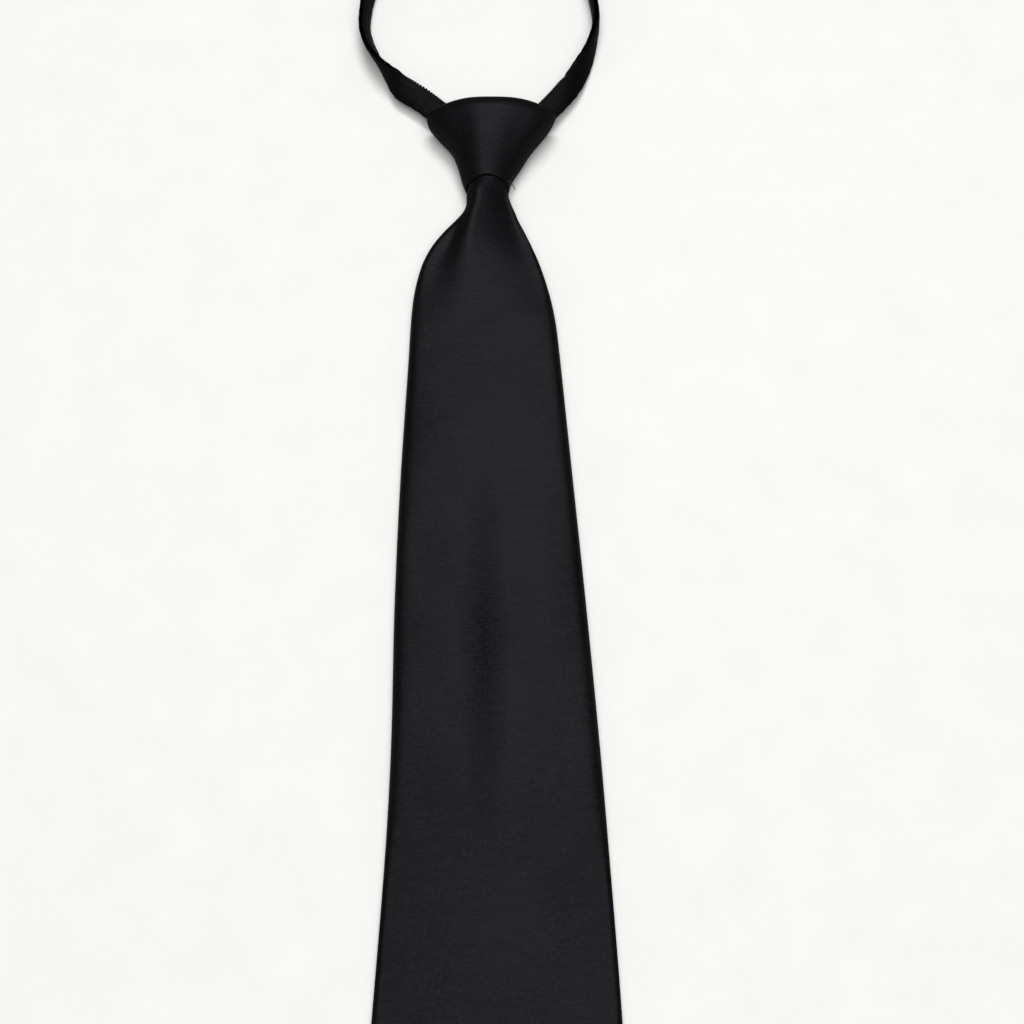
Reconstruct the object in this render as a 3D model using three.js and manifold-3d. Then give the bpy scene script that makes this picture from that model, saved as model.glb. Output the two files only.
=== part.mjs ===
// A zipper tie lying on its back: a folded satin blade, a made-up hollow knot, and a neck loop
// of satin covered zip tape that the slider inside the knot closes into a tail behind the blade.
// Millimetres. +X is to the right of the tie's front, +Y runs from the blade's point to the neck
// loop, +Z is up, away from the surface the tie lies on. While the pieces are made, Y = 0 is the
// hem of the knot; the last lines move the origin to the middle of the underside.
import * as THREE from 'three';
import { mergeVertices } from 'three/addons/utils/BufferGeometryUtils.js';
import Module from 'manifold-3d';

// Driving dimensions
const bladeLength = 448; // from the knot's hem to the point
const bladeWidth = 82; // at the shoulders, above the point
const bladeTopWidth = 49.4; // where the flare under the knot ends
const bladeFlare = 63; // length of the flare
const bladeNeckThickness = 7; // gathered
const bladeTuck = 9; // how far the gathered end reaches up into the knot
const bladeHollow = 1.2; // between the folded front and back of the blade
const bladePad = 0.9; // how far the middle of the blade stands above its edges
const clothWall = 1.2; // satin over its padding
const foldedEdge = 2.6; // solid width of the blade's folded edge
const seamGap = 0.8; // between the two edges that meet down the middle of the blade's back
const pocketDepth = 0.5; // step from the back of the blade down to the facing inside its point
const pocketReach = 96; // how far above the point the back edges part
const pocketSlope = 0.42; // how fast they part, across for each millimetre along
const pointBlunt = 1.2; // left off the very tip of a folded point
const knotHeight = 31.8; // from the hem to the top of the arch
const knotWidth = 45; // across the top corners
const knotHemWidth = 16;
const knotThickness = 19;
const knotArch = 4.4; // how far the middle of the top edge stands above the corners
const bandWidth = 7.2; // band of the neck loop, without the teeth on its edge
const bandThickness = 2.6;
const loopWidth = 86.9; // outside, where the neck loop is widest
const loopFront = 72; // from the hem to where the neck loop is widest
const loopBack = 52; // from there to the back of the neck loop
const loopSway = -2.7; // the loop's middle lies a little to the left of the knot's
const tapeWidth = 6.1; // one half of the closed zip
const tapeThickness = 1.2;
const teethHeight = 2.2; // of the closed teeth
const teethWidth = 4.2;
const toothPitch = 1.6;
const toothLength = 1.6; // out from the band's edge
const toothCord = 0.8; // the woven edge that carries the teeth
const openTeethLength = 44; // up each side of the neck loop
const tailLength = 128; // closed zip, from the hem
const pullLength = 64; // satin tab at the end of the zip
const pullThickness = 2;
const drapeRun = 44; // past the end of the tab, where the blade comes down on the surface again
const sliderLength = 8;
const sliderPlace = 9; // from the hem to the slider's lower end
const sliderFlange = 3; // past the teeth on each side
const clearance = 0.3; // between pieces that touch

// Sizes that follow from them
const bladeThickness = 2 * clothWall + bladeHollow;
const pointLength = bladeWidth / 2;
const shoulder = bladeLength - pointLength;
const bladeNeckWidth = knotHemWidth - 2 * (clothWall + 3 * clearance); // gathered in the knot
const tailWidth = 2 * tapeWidth;
const stripWidth = bandWidth + clearance + toothLength; // band and open teeth side by side
const stripNarrow = tapeWidth / stripWidth; // where it runs into the slider
const neckUnder = clothWall + 2 * clearance + teethHeight;
const knotHemThickness = neckUnder + bladeNeckThickness + clearance + clothWall;

const satin = { color: 0x1f1f22, roughness: 0.42, metalness: 0 };
const tape = { color: 0x17171a, roughness: 0.7, metalness: 0 };
const nylon = { color: 0x1b1b1d, roughness: 0.35, metalness: 0 };
const slide = { color: 0x2a2a2c, roughness: 0.4, metalness: 0.6 };

const wasm = await Module();
wasm.setup();

const mix = (a, b, share) => a + (b - a) * share;
const smooth = (from, to, at) => THREE.MathUtils.smoothstep(at, from, to);

// Smooth reading of one column of a table whose rows rise in the column named key
function read(rows, key, column, at) {
  const last = rows.length - 1;
  if (at <= rows[0][key]) return rows[0][column];
  if (at >= rows[last][key]) return rows[last][column];
  const i = rows.findIndex((row) => row[key] > at) - 1;
  const slope = (j) => {
    const a = rows[Math.max(j - 1, 0)];
    const b = rows[Math.min(j + 1, last)];
    return (b[column] - a[column]) / (b[key] - a[key]);
  };
  const span = rows[i + 1][key] - rows[i][key];
  const t = (at - rows[i][key]) / span;
  const start = rows[i][column];
  const end = rows[i + 1][column];
  const rise = t * t * (3 - 2 * t);
  const bend = (t - 1) * (t - 1) * t * slope(i) + t * t * (t - 1) * slope(i + 1);
  return start + (end - start) * rise + bend * span;
}

// One closed body through rings of equally many points. Each ring starts at one side, so that
// points as far from its start both ways face each other and the ends close between such pairs.
function loft(rings) {
  const count = rings[0].length;
  const points = rings.flat();
  const faces = [];
  for (let i = 0; i < rings.length - 1; i += 1) {
    for (let j = 0; j < count; j += 1) {
      const k = (j + 1) % count;
      const a = i * count;
      const b = a + count;
      faces.push(a + j, b + k, a + k);
      faces.push(a + j, b + j, b + k);
    }
  }
  for (const end of [0, rings.length - 1]) {
    const corner = (j) => end * count + (j % count);
    for (let j = 0; j < count / 2; j += 1) {
      const near = [corner(j), corner(j + 1), corner(count - j)];
      const far = [corner(j + 1), corner(count - j - 1), corner(count - j)];
      for (const face of [near, far]) {
        const whole = new Set(face).size === 3;
        if (whole) faces.push(...(end ? face.reverse() : face));
      }
    }
  }
  const geometry = new THREE.BufferGeometry().setFromPoints(points);
  geometry.setIndex(faces);
  return geometry;
}

function toSolid(geometry) {
  const bare = geometry.clone();
  bare.deleteAttribute('normal');
  bare.deleteAttribute('uv');
  const joined = mergeVertices(bare, 1e-5);
  const vertProperties = new Float32Array(joined.attributes.position.array);
  const triVerts = new Uint32Array(joined.index.array);
  return new wasm.Manifold(new wasm.Mesh({ numProp: 3, vertProperties, triVerts }));
}

function toGeometry(solid) {
  const mesh = solid.getMesh();
  const geometry = new THREE.BufferGeometry();
  geometry.setAttribute('position', new THREE.BufferAttribute(mesh.vertProperties.slice(), 3));
  geometry.setIndex(new THREE.BufferAttribute(mesh.triVerts.slice(), 1));
  return geometry;
}

const range = (count) => Array.from({ length: count + 1 }, (_, i) => i / count);

// Places across a piece from -1 to just before 1, closer together at its sides, and back again
function acrossAndBack(steps) {
  const over = range(steps).slice(0, -1).map((share) => ({ across: -Math.cos(Math.PI * share), upper: 1 }));
  return [...over, ...over.map(({ across }) => ({ across: -across, upper: -1 }))];
}

// Blade. Sides of the flare under the knot: down is a share of the flare, left and right are
// shares of the way from the gathered neck to the full width.
const flareRows = [
  { down: 0, left: 0, right: 0 },
  { down: 0.035, left: 0.055, right: 0.045 },
  { down: 0.083, left: 0.08, right: 0.063 },
  { down: 0.124, left: 0.083, right: 0.106 },
  { down: 0.17, left: 0.145, right: 0.17 },
  { down: 0.216, left: 0.275, right: 0.226 },
  { down: 0.286, left: 0.487, right: 0.333 },
  { down: 0.367, left: 0.698, right: 0.455 },
  { down: 0.46, left: 0.857, right: 0.582 },
  { down: 0.567, left: 0.963, right: 0.698 },
  { down: 0.683, left: 1.026, right: 0.794 },
  { down: 0.822, left: 1.058, right: 0.868 },
  { down: 1, left: 1.079, right: 0.921 },
];
// How far each side stands outside a straight line from flare to shoulder, in blade widths
const sideRows = [
  { down: 0, left: 0, right: 0 },
  { down: 0.13, left: 0, right: 0.012 },
  { down: 0.25, left: -0.01, right: 0.023 },
  { down: 0.38, left: -0.032, right: 0.031 },
  { down: 0.47, left: -0.036, right: 0.032 },
  { down: 0.6, left: -0.027, right: 0.03 },
  { down: 0.8, left: -0.01, right: 0.012 },
  { down: 1, left: 0, right: 0 },
];
// Folds that fan out of the knot: from and to are places across the blade, in half widths, at
// the hem and where the fold dies out; rise is in neck thicknesses, wide in half widths.
const foldRows = [
  { name: 'middle ridge', from: -0.3, to: -0.34, rise: 0.2, wide: 0.3, reach: 0.62 },
  { name: 'left valley', from: -0.95, to: -0.72, rise: -0.3, wide: 0.2, reach: 0.85 },
  { name: 'right valley', from: 0.42, to: 0.2, rise: -0.24, wide: 0.26, reach: 0.7 },
  { name: 'right ridge', from: 0.95, to: 0.66, rise: 0.16, wide: 0.24, reach: 0.8 },
];
const foldBehind = 0.35; // share of a ridge that the blade's back follows

function bladeSide(side, down) {
  const neck = bladeNeckWidth / 2;
  const open = neck + (bladeTopWidth / 2 - neck) * flareRows[flareRows.length - 1][side];
  if (down < bladeFlare) {
    const share = read(flareRows, 'down', side, down / bladeFlare);
    return mix(neck, bladeTopWidth / 2, share);
  }
  const share = (down - bladeFlare) / (shoulder - bladeFlare);
  const straight = mix(open, bladeWidth / 2, Math.min(share, 1));
  const full = straight + bladeWidth * read(sideRows, 'down', side, share);
  return full * THREE.MathUtils.clamp((bladeLength - down) / pointLength, 0, 1);
}

const neckness = (down) => 1 - smooth(0, bladeFlare * 0.75, down);

// How high the closed zip, and the blade on top of it, are carried at a distance under the hem
const tailSettle = 2 * sliderLength;
const tailUnder = (down) => (clothWall + clearance) * (1 - smooth(0, tailSettle, down));
const pullEnd = tailLength + pullLength;
const bladeUnder = (down) => (tailUnder(down) + teethHeight + clearance)
  * (1 - smooth(pullEnd + drapeRun / 4, pullEnd + drapeRun, down));

// Height of the middle of the cloth above the surface, x across from the tie's middle line
function bladeMiddle(x, down, thickness) {
  const onTail = 1 - smooth(tailWidth * 0.8, tailWidth * 1.7, Math.abs(x));
  const atEdge = bladeUnder(0) * (1 - smooth(0, bladeFlare * 0.7, down));
  const under = mix(Math.min(atEdge, bladeUnder(down)), bladeUnder(down), onTail);
  return under + thickness / 2;
}

function bladeFold(share, down) {
  let height = 0;
  for (const fold of foldRows) {
    const gone = Math.max(down, 0) / (bladeFlare * fold.reach * 2);
    const place = mix(fold.from, fold.to, Math.min(gone * 2, 1));
    const across = Math.exp(-(((share - place) / fold.wide) ** 2));
    height += fold.rise * bladeNeckThickness * across * (1 - smooth(0.35, 1, gone));
  }
  return height * smooth(0, bladeTuck, down);
}

// Ring around the blade at a distance under the hem. inset is the wall left outside the ring,
// and edge the width that it leaves at each side; faces is how many steps cross the blade.
function bladeRing(down, inset, edge, faces) {
  const left = bladeSide('left', down) - edge;
  const right = bladeSide('right', down) - edge;
  const outer = mix(bladeThickness, bladeNeckThickness, neckness(down));
  const half = Math.min(outer / 2 - inset, (left + right) * 0.45);
  const neck = neckness(down);
  return acrossAndBack(faces).map(({ across, upper }) => {
    const bow = Math.sign(across) * (1 - (1 - Math.abs(across)) ** 1.25);
    const x = mix(-left, right, (bow + 1) / 2);
    const room = Math.min(x + left, right - x, half) / half;
    const folded = Math.sqrt(Math.max(1 - (1 - room) ** 2, 0));
    const oval = Math.sqrt(Math.max(1 - (x / (x < 0 ? left : right)) ** 2, 0));
    const round = mix(folded, oval, neck);
    const share = x / (x < 0 ? bladeSide('left', down) : bladeSide('right', down));
    const pad = upper > 0 ? bladePad * (1 - share * share) * (1 - neck) : 0;
    const fold = bladeFold(share, down) * (1 - share ** 8);
    const lift = upper > 0 ? fold : Math.max(fold * foldBehind, 0);
    const z = bladeMiddle(x, down, outer) + upper * half * round + pad + lift;
    return new THREE.Vector3(x, -down, z);
  });
}

function bladeStations(end) {
  const flare = range(18).map((share) => share * bladeFlare);
  const body = range(15).slice(1).map((share) => mix(bladeFlare, shoulder, share));
  const point = range(6).slice(1).map((share) => mix(shoulder, end, share));
  return [-bladeTuck, -bladeTuck / 2, ...flare, ...body, ...point];
}

// Section of a cut made from under the blade, half as wide as half on each side of its middle
function cutRing(down, half, top) {
  const middle = (bladeSide('right', down) - bladeSide('left', down)) / 2;
  return [[-half, top], [half, top], [half, -clothWall], [-half, -clothWall]]
    .map(([x, z]) => new THREE.Vector3(middle + x, -down, z));
}

function makeBlade() {
  const outer = loft(bladeStations(bladeLength - pointBlunt).map((down) => bladeRing(down, 0, 0, 16)));
  const insideEnd = bladeLength - foldedEdge * Math.SQRT2 - pointBlunt;
  const inside = bladeStations(insideEnd).map((down) => {
    const slant = mix(1, Math.SQRT2 * 0.9, Math.max(down - shoulder, 0) / pointLength);
    const edge = Math.min(foldedEdge * slant, down < shoulder ? bladeSide('left', down) * 0.3 : Infinity);
    return bladeRing(down, clothWall, edge, 10);
  });
  const above = inside[0].map((point) => point.clone().setY(bladeTuck + clothWall));
  const seam = bladeStations(bladeLength - pocketReach).filter((down) => down > 0).map((down) => {
    const thickness = mix(bladeThickness, bladeNeckThickness, neckness(down));
    return cutRing(down, seamGap / 2, bladeMiddle(0, down, thickness));
  });
  const pocket = range(4).map((share) => {
    const down = mix(bladeLength - pocketReach, bladeLength - 2 * foldedEdge, share);
    const room = (bladeSide('right', down) + bladeSide('left', down)) / 2 - foldedEdge;
    const half = Math.max(Math.min(pocketReach * pocketSlope * share, room), seamGap / 2);
    return cutRing(down, half, pocketDepth);
  });
  const shell = toSolid(outer).subtract(toSolid(loft([above, ...inside])));
  return toGeometry(shell.subtract(toSolid(loft(seam))).subtract(toSolid(loft(pocket))));
}

// Knot. Sides from the hem to the top corners: up is a share of the height, left and right are
// shares of half the width across the corners.
const knotRows = [
  { up: 0, left: 0.34, right: 0.35, thick: 0 },
  { up: 0.11, left: 0.39, right: 0.41, thick: 0.2 },
  { up: 0.3, left: 0.475, right: 0.555, thick: 0.62 },
  { up: 0.52, left: 0.59, right: 0.74, thick: 0.94 },
  { up: 0.75, left: 0.8, right: 0.945, thick: 1 },
  { up: 0.9, left: 0.925, right: 1.05, thick: 0.97 },
  { up: 1, left: 0.96, right: 1.06, thick: 0.94 },
];
// Folds down the knot's face: from at the hem, to at the top, in half widths
const knotFolds = [
  { name: 'middle ridge', from: -0.1, to: -0.05, rise: 0.045, wide: 0.2 },
  { name: 'left hollow', from: -0.6, to: -0.5, rise: -0.05, wide: 0.26 },
  { name: 'right hollow', from: 0.45, to: 0.3, rise: -0.04, wide: 0.2 },
  { name: 'right shoulder', from: 0.8, to: 0.62, rise: 0.035, wide: 0.24 },
];
const knotSideHeight = 0.45; // of the thickness, where the sides are widest
const knotRoll = 0.62; // share of the height where the face starts to roll over the top
const knotTop = 0.992; // share of the height of the last ring, which closes the top
const faceRound = 2.3; // 2 makes the face's section an oval, and more makes it squarer
const backRound = 4;
const archRound = 3.4; // how late the top edge drops towards its corners

function knotPoint(share, up, upper, inset) {
  const height = knotHeight - inset;
  const roll = Math.sqrt(Math.max(1 - Math.max((up - knotRoll) / (1 - knotRoll), 0) ** 2, 0));
  const side = share < 0 ? 'left' : 'right';
  const hem = (knotHemWidth / knotWidth) / knotRows[0][side];
  const wide = read(knotRows, 'up', side, up) * mix(hem, 1, up);
  const x = share * (knotWidth / 2 * wide - inset);
  const thick = mix(knotHemThickness, knotThickness, read(knotRows, 'up', 'thick', up));
  const middle = thick * knotSideHeight;
  const bulge = (1 - Math.abs(share) ** faceRound) ** (1 / faceRound);
  const flat = (1 - Math.abs(share) ** backRound) ** (1 / backRound);
  let fold = 0;
  for (const row of knotFolds) {
    const place = mix(row.from, row.to, up);
    fold += row.rise * knotThickness * Math.exp(-(((share - place) / row.wide) ** 2));
  }
  fold *= smooth(-0.1, 0.6, up);
  const face = middle + (thick - middle - inset + fold) * roll * bulge;
  const back = middle - (middle - inset) * roll * flat;
  const y = height * up - knotArch * Math.abs(share) ** archRound * smooth(0.2, 1, up);
  return new THREE.Vector3(x, y, upper > 0 ? face : back);
}

function knotRing(up, inset, faces) {
  return acrossAndBack(faces).map(({ across, upper }) => knotPoint(across, up, upper, inset));
}

function makeKnot(bandTunnel) {
  const rise = range(15).map((share) => Math.sin(share * Math.PI / 2) * knotTop).reverse();
  const outer = loft(rise.map((up) => knotRing(up, 0, 16)));
  const inner = rise.map((up) => knotRing(up, clothWall, 12));
  const below = knotRing(0, clothWall, 12).map((point) => point.setY(-clothWall));
  const hollow = loft([...inner, below]);
  const notchWidth = tailWidth + 4 * clearance;
  const notchTop = sliderPlace + clearance;
  const notch = new THREE.BoxGeometry(notchWidth, notchTop + clothWall, neckUnder + clothWall);
  notch.translate(0, (notchTop - clothWall) / 2, (neckUnder - clothWall) / 2);
  const shell = toSolid(outer).subtract(toSolid(hollow)).subtract(toSolid(notch));
  return toGeometry(shell.subtract(bandTunnel));
}

// Neck loop. Route of each front half from the slider to the loop's widest place: across is a
// share of half the loop's width, up a share of the loop's front, turn the band's twist from
// lying flat to standing on its edge, and wide its width as a share of the full band.
const leftRoute = [
  { across: -0.21, up: 0.36, turn: 2, wide: 0.85 },
  { across: -0.4, up: 0.448, turn: 8, wide: 1 },
  { across: -0.532, up: 0.522, turn: 18, wide: 1 },
  { across: -0.67, up: 0.588, turn: 38, wide: 1 },
  { across: -0.76, up: 0.655, turn: 72, wide: 1 },
  { across: -0.845, up: 0.73, turn: 90, wide: 1 },
  { across: -0.925, up: 0.82, turn: 90, wide: 1 },
  { across: -0.98, up: 0.91, turn: 90, wide: 1 },
];
const rightRoute = [
  { across: 0.23, up: 0.32, turn: 2, wide: 0.85 },
  { across: 0.41, up: 0.388, turn: 8, wide: 1 },
  { across: 0.53, up: 0.455, turn: 12, wide: 1 },
  { across: 0.64, up: 0.522, turn: 28, wide: 1 },
  { across: 0.745, up: 0.597, turn: 50, wide: 1 },
  { across: 0.84, up: 0.69, turn: 68, wide: 1 },
  { across: 0.92, up: 0.787, turn: 80, wide: 1 },
  { across: 0.975, up: 0.895, turn: 88, wide: 1 },
];

function makeRoute() {
  const halfLoop = (loopWidth - bandThickness) / 2;
  const back = loopBack - bandThickness / 2;
  const place = (row) => ({
    x: row.across * halfLoop + loopSway * smooth(0.1, 1, Math.abs(row.across)),
    y: row.up * loopFront,
    turn: row.turn,
    wide: row.wide,
  });
  const arc = range(12).map((share) => {
    const angle = Math.PI * (1 - share);
    return {
      x: loopSway + halfLoop * Math.cos(angle),
      y: loopFront + back * Math.sin(angle),
      turn: 90,
      wide: 1,
    };
  });
  const start = (side) => [0, sliderLength / 3].map((rise) => ({
    x: side * (tapeWidth + clearance) / 2,
    y: sliderPlace + sliderLength + clearance + rise,
    turn: 0,
    wide: stripNarrow,
  }));
  const left = [...start(-1), ...leftRoute.map(place)];
  const right = [...start(1), ...rightRoute.map(place)];
  return [...left, ...arc, ...right.reverse()];
}

const route = makeRoute();
const innerHeight = clothWall + 2 * clearance + bandThickness / 2;
const routeCurve = new THREE.CatmullRomCurve3(
  route.map((row) => {
    const lift = mix(innerHeight, stripWidth / 2, smooth(stripNarrow, 1, row.wide));
    return new THREE.Vector3(row.x, row.y, lift);
  }),
  false,
  'centripetal',
);
const routeLength = routeCurve.getLength();

// Place on the band at a distance along it from the left end: its middle, and the directions
// across the band towards the zip's teeth and out of its satin face
function bandFrame(distance) {
  const t = routeCurve.getUtoTmapping(distance / routeLength);
  const at = routeCurve.getPoint(t);
  const along = routeCurve.getTangent(t);
  const flat = new THREE.Vector3(along.y, -along.x, 0).normalize();
  const step = Math.min(t * (route.length - 1), route.length - 1.001);
  const before = route[Math.floor(step)];
  const after = route[Math.floor(step) + 1];
  const turn = THREE.MathUtils.degToRad(mix(before.turn, after.turn, step % 1));
  const strip = stripWidth * mix(before.wide, after.wide, step % 1);
  const up = new THREE.Vector3(0, 0, 1);
  const across = flat.clone().multiplyScalar(Math.cos(turn)).addScaledVector(up, Math.sin(turn));
  const out = up.clone().multiplyScalar(Math.cos(turn)).addScaledVector(flat, -Math.sin(turn));
  return { at, across, out, strip };
}

const bandSteps = 84;

// Band section as shares of half its width and half its thickness
const bandSection = [
  { across: -1, out: -0.35 },
  { across: -0.86, out: -1 },
  { across: 0, out: -1 },
  { across: 0.86, out: -1 },
  { across: 1, out: -0.35 },
  { across: 1, out: 0.35 },
  { across: 0.86, out: 0.9 },
  { across: 0, out: 1 },
  { across: -0.86, out: 0.9 },
  { across: -1, out: 0.35 },
];

// The band itself, which leaves the inner edge of the strip to the teeth, or the room that the
// whole strip takes
function bandSolid(teeth, room) {
  return loft(range(bandSteps).map((share) => {
    const { at, across, out, strip } = bandFrame(share * routeLength);
    return bandSection.map((row) => at.clone()
      .addScaledVector(across, row.across * ((strip - teeth) / 2 + room) - teeth / 2)
      .addScaledVector(out, row.out * (bandThickness / 2 + room)));
  }));
}

// One tooth and the cord up to the next: gone is a share of the pitch
const toothRows = [
  { gone: 0, reach: toothLength, thick: tapeThickness },
  { gone: 0.42, reach: toothLength, thick: tapeThickness },
  { gone: 0.5, reach: toothCord, thick: toothCord },
  { gone: 0.92, reach: toothCord, thick: toothCord },
];
// Section of a tooth or of the cord, as shares of its reach and of half its thickness
const toothSection = [
  { far: 0, out: -1 },
  { far: 1, out: -0.6 },
  { far: 1, out: 0.6 },
  { far: 0, out: 1 },
];

// Row of open teeth on the band's inner edge: a cord with a tooth at every pitch
function makeTeeth(fromLeft) {
  const count = Math.round(openTeethLength / toothPitch);
  const rows = Array.from({ length: count }, (_, tooth) => (
    toothRows.map((row) => ({ ...row, gone: (tooth + row.gone) * toothPitch + clearance })))).flat();
  const rings = rows.map((row) => {
    const frame = bandFrame(fromLeft ? row.gone : routeLength - row.gone);
    const inner = frame.strip / 2 - toothLength;
    return toothSection.map(({ far, out }) => frame.at.clone()
      .addScaledVector(frame.across, inner + far * row.reach)
      .addScaledVector(frame.out, out * row.thick / 2));
  });
  return loft(fromLeft ? rings : rings.reverse());
}

// Closed zip behind the blade: two tapes and the ridge of their closed teeth, one flat strip
function makeTail() {
  const top = [
    [-tapeWidth, tapeThickness], [-teethWidth / 2, tapeThickness], [-teethWidth / 3, teethHeight],
    [teethWidth / 3, teethHeight], [teethWidth / 2, tapeThickness], [tapeWidth, tapeThickness],
  ];
  const under = top.map(([x]) => [x, 0]).reverse();
  const edge = tapeThickness / 2;
  const section = [[-tapeWidth, edge], ...top, [tapeWidth, edge], ...under];
  const start = sliderPlace - clearance;
  const settle = range(8).map((share) => mix(-start, tailSettle, share));
  return loft([...settle, tailLength / 2, tailLength - clearance].map((down) => {
    return section.map(([x, z]) => new THREE.Vector3(x, -down, z + tailUnder(down)));
  }));
}

// Section of the tab, as shares of half its width and of its thickness
const pullSection = [
  { across: -1, up: 0.5 },
  { across: -0.85, up: 1 },
  { across: 0.85, up: 1 },
  { across: 1, up: 0.5 },
  { across: 0.85, up: 0 },
  { across: -0.85, up: 0 },
];

// Satin tab on the end of the zip, folded to a point
function makePull() {
  const pointPlace = pullLength - tapeWidth;
  const rows = range(4).map((share) => ({ down: share * pointPlace, half: tapeWidth }));
  rows.push({ down: pullLength - pointBlunt, half: pointBlunt });
  return loft(rows.map(({ down, half }) => pullSection.map(({ across, up }) => (
    new THREE.Vector3(across * half, -tailLength - down, up * pullThickness)))));
}

// Slider in the knot, over the place where the two tapes close
function makeSlider() {
  const width = teethWidth + 2 * sliderFlange;
  const block = new THREE.BoxGeometry(width, sliderLength, teethHeight);
  block.translate(0, sliderPlace + sliderLength / 2, clothWall + clearance + teethHeight / 2);
  return block;
}

function piece(name, geometry, look) {
  geometry.computeVertexNormals();
  const mesh = new THREE.Mesh(geometry, new THREE.MeshStandardMaterial(look));
  mesh.name = name;
  return mesh;
}

const bandTunnel = toSolid(bandSolid(0, clearance));
const tie = new THREE.Group();
tie.add(
  piece('blade', makeBlade(), satin),
  piece('knot', makeKnot(bandTunnel), satin),
  piece('neck_band', bandSolid(toothLength + clearance, 0), satin),
  piece('zip_teeth_left', makeTeeth(true), nylon),
  piece('zip_teeth_right', makeTeeth(false), nylon),
  piece('zip_slider', makeSlider(), slide),
  piece('zip_tail', makeTail(), tape),
  piece('tail_pull', makePull(), satin),
);

// Origin at the middle of the underside
const box = new THREE.Box3().setFromObject(tie, true);
const middle = box.getCenter(new THREE.Vector3());
tie.position.set(-middle.x, -middle.y, -box.min.z);

export default tie;
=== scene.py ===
# %% [markdown]
# A zipper tie is a ready-made necktie. Its knot is sewn for good, and its neck loop is a long
# zip: when the slider inside the knot is pulled down, the loop opens and the closed part of the
# zip gets shorter behind the blade. Here the tie lies on its back on a pale surface. The packed
# model gives every place and size, so the first step loads it and keeps its box.

# %% Load the packed model
import math

import bmesh
import bpy
import numpy as np
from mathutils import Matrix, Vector


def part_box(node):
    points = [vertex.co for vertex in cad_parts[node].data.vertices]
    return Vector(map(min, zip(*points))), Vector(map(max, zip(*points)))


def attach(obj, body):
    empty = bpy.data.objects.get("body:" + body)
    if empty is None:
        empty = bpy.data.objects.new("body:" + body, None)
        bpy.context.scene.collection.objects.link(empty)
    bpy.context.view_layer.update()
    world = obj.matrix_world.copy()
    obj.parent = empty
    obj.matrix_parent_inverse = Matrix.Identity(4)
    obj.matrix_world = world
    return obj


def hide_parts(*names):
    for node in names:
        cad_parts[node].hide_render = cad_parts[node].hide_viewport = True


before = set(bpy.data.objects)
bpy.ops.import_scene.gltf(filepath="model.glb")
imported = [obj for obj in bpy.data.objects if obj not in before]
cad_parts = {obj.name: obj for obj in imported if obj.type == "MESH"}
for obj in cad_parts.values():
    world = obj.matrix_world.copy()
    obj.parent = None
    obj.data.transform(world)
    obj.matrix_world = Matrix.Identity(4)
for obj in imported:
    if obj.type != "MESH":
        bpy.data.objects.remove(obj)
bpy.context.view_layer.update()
print("nodes:", ", ".join(sorted(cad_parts)))

# %% [markdown]
# Everything on a tie is measured from the hem of its knot, where the blade comes out. So the
# pieces are made with that place as zero, x to the right, y up the tie and z off the surface,
# and moved to the packed model's own zero at the end. The sizes that the model shows are read
# from the boxes of its nodes, and the rest are the same values that the solids were made with.

# %% Sizes, in metres
MM = 0.001
blade_low, blade_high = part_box("blade")
knot_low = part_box("knot")[0]
band_low, band_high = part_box("neck_band")
tail_low, tail_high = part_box("zip_tail")
pull_low, pull_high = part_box("tail_pull")
slider_low, slider_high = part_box("zip_slider")
hem = Vector(((tail_low.x + tail_high.x) / 2, knot_low.y, blade_low.z))

cloth_wall = 1.2 * MM
clearance = 0.3 * MM
point_blunt = 1.2 * MM
blade_length = hem.y - blade_low.y + point_blunt
blade_width = blade_high.x - blade_low.x
blade_tuck = blade_high.y - hem.y
blade_top_width = 49.4 * MM
blade_flare = 63 * MM
blade_thickness = 3.6 * MM
blade_neck_thickness = 7 * MM
blade_neck_width = 11.8 * MM
blade_pad = 0.9 * MM
seam_gap = 0.8 * MM
folded_edge = 2.6 * MM
pocket_reach = 96 * MM
pocket_slope = 0.42
point_length = blade_width / 2
shoulder = blade_length - point_length
tail_width = tail_high.x - tail_low.x
tail_length = hem.y - pull_high.y
pull_length = pull_high.y - pull_low.y + point_blunt
teeth_height = 2.2 * MM
slider_place = slider_low.y - hem.y
slider_length = slider_high.y - slider_low.y
print("blade", round(blade_length, 4), "m long and", round(blade_width, 4), "m wide")

# %% [markdown]
# An outline is easiest to keep as a short table, with a smooth line drawn through its rows. This
# reading is a Hermite curve: at each row it leans the way its two neighbours lie. It takes a whole
# array of places at once, because numpy then works out a surface in one go.

# %% Smooth tables
def mix(a, b, share):
    return a + (b - a) * share


def smooth(start, end, at):
    share = np.clip((at - start) / (end - start), 0, 1)
    return share * share * (3 - 2 * share)


def read(table, column, at):
    """Smooth reading of one column of a table whose first column rises."""
    keys = np.array(next(iter(table.values())), float)
    values = np.array(table[column], float)
    rows = np.arange(len(keys))
    low = np.maximum(rows - 1, 0)
    high = np.minimum(rows + 1, len(keys) - 1)
    slopes = (values[high] - values[low]) / (keys[high] - keys[low])
    at = np.clip(at, keys[0], keys[-1])
    row = np.clip(np.searchsorted(keys, at, side="right") - 1, 0, len(keys) - 2)
    span = keys[row + 1] - keys[row]
    share = (at - keys[row]) / span
    rise = share * share * (3 - 2 * share)
    bend = share * (share - 1) ** 2 * slopes[row] + share ** 2 * (share - 1) * slopes[row + 1]
    return values[row] + (values[row + 1] - values[row]) * rise + bend * span


print("a smooth step from 0 to 1, a quarter of the way:", float(smooth(0, 1, 0.25)))

# %% [markdown]
# Almost every piece here is a strip or a tube of cloth, which is a grid of points: rings along
# the piece, each with the same number of points. Quads between neighbouring rings make its
# faces. Shading is smooth except over real edges, where two faces meet at a large angle.

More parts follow.
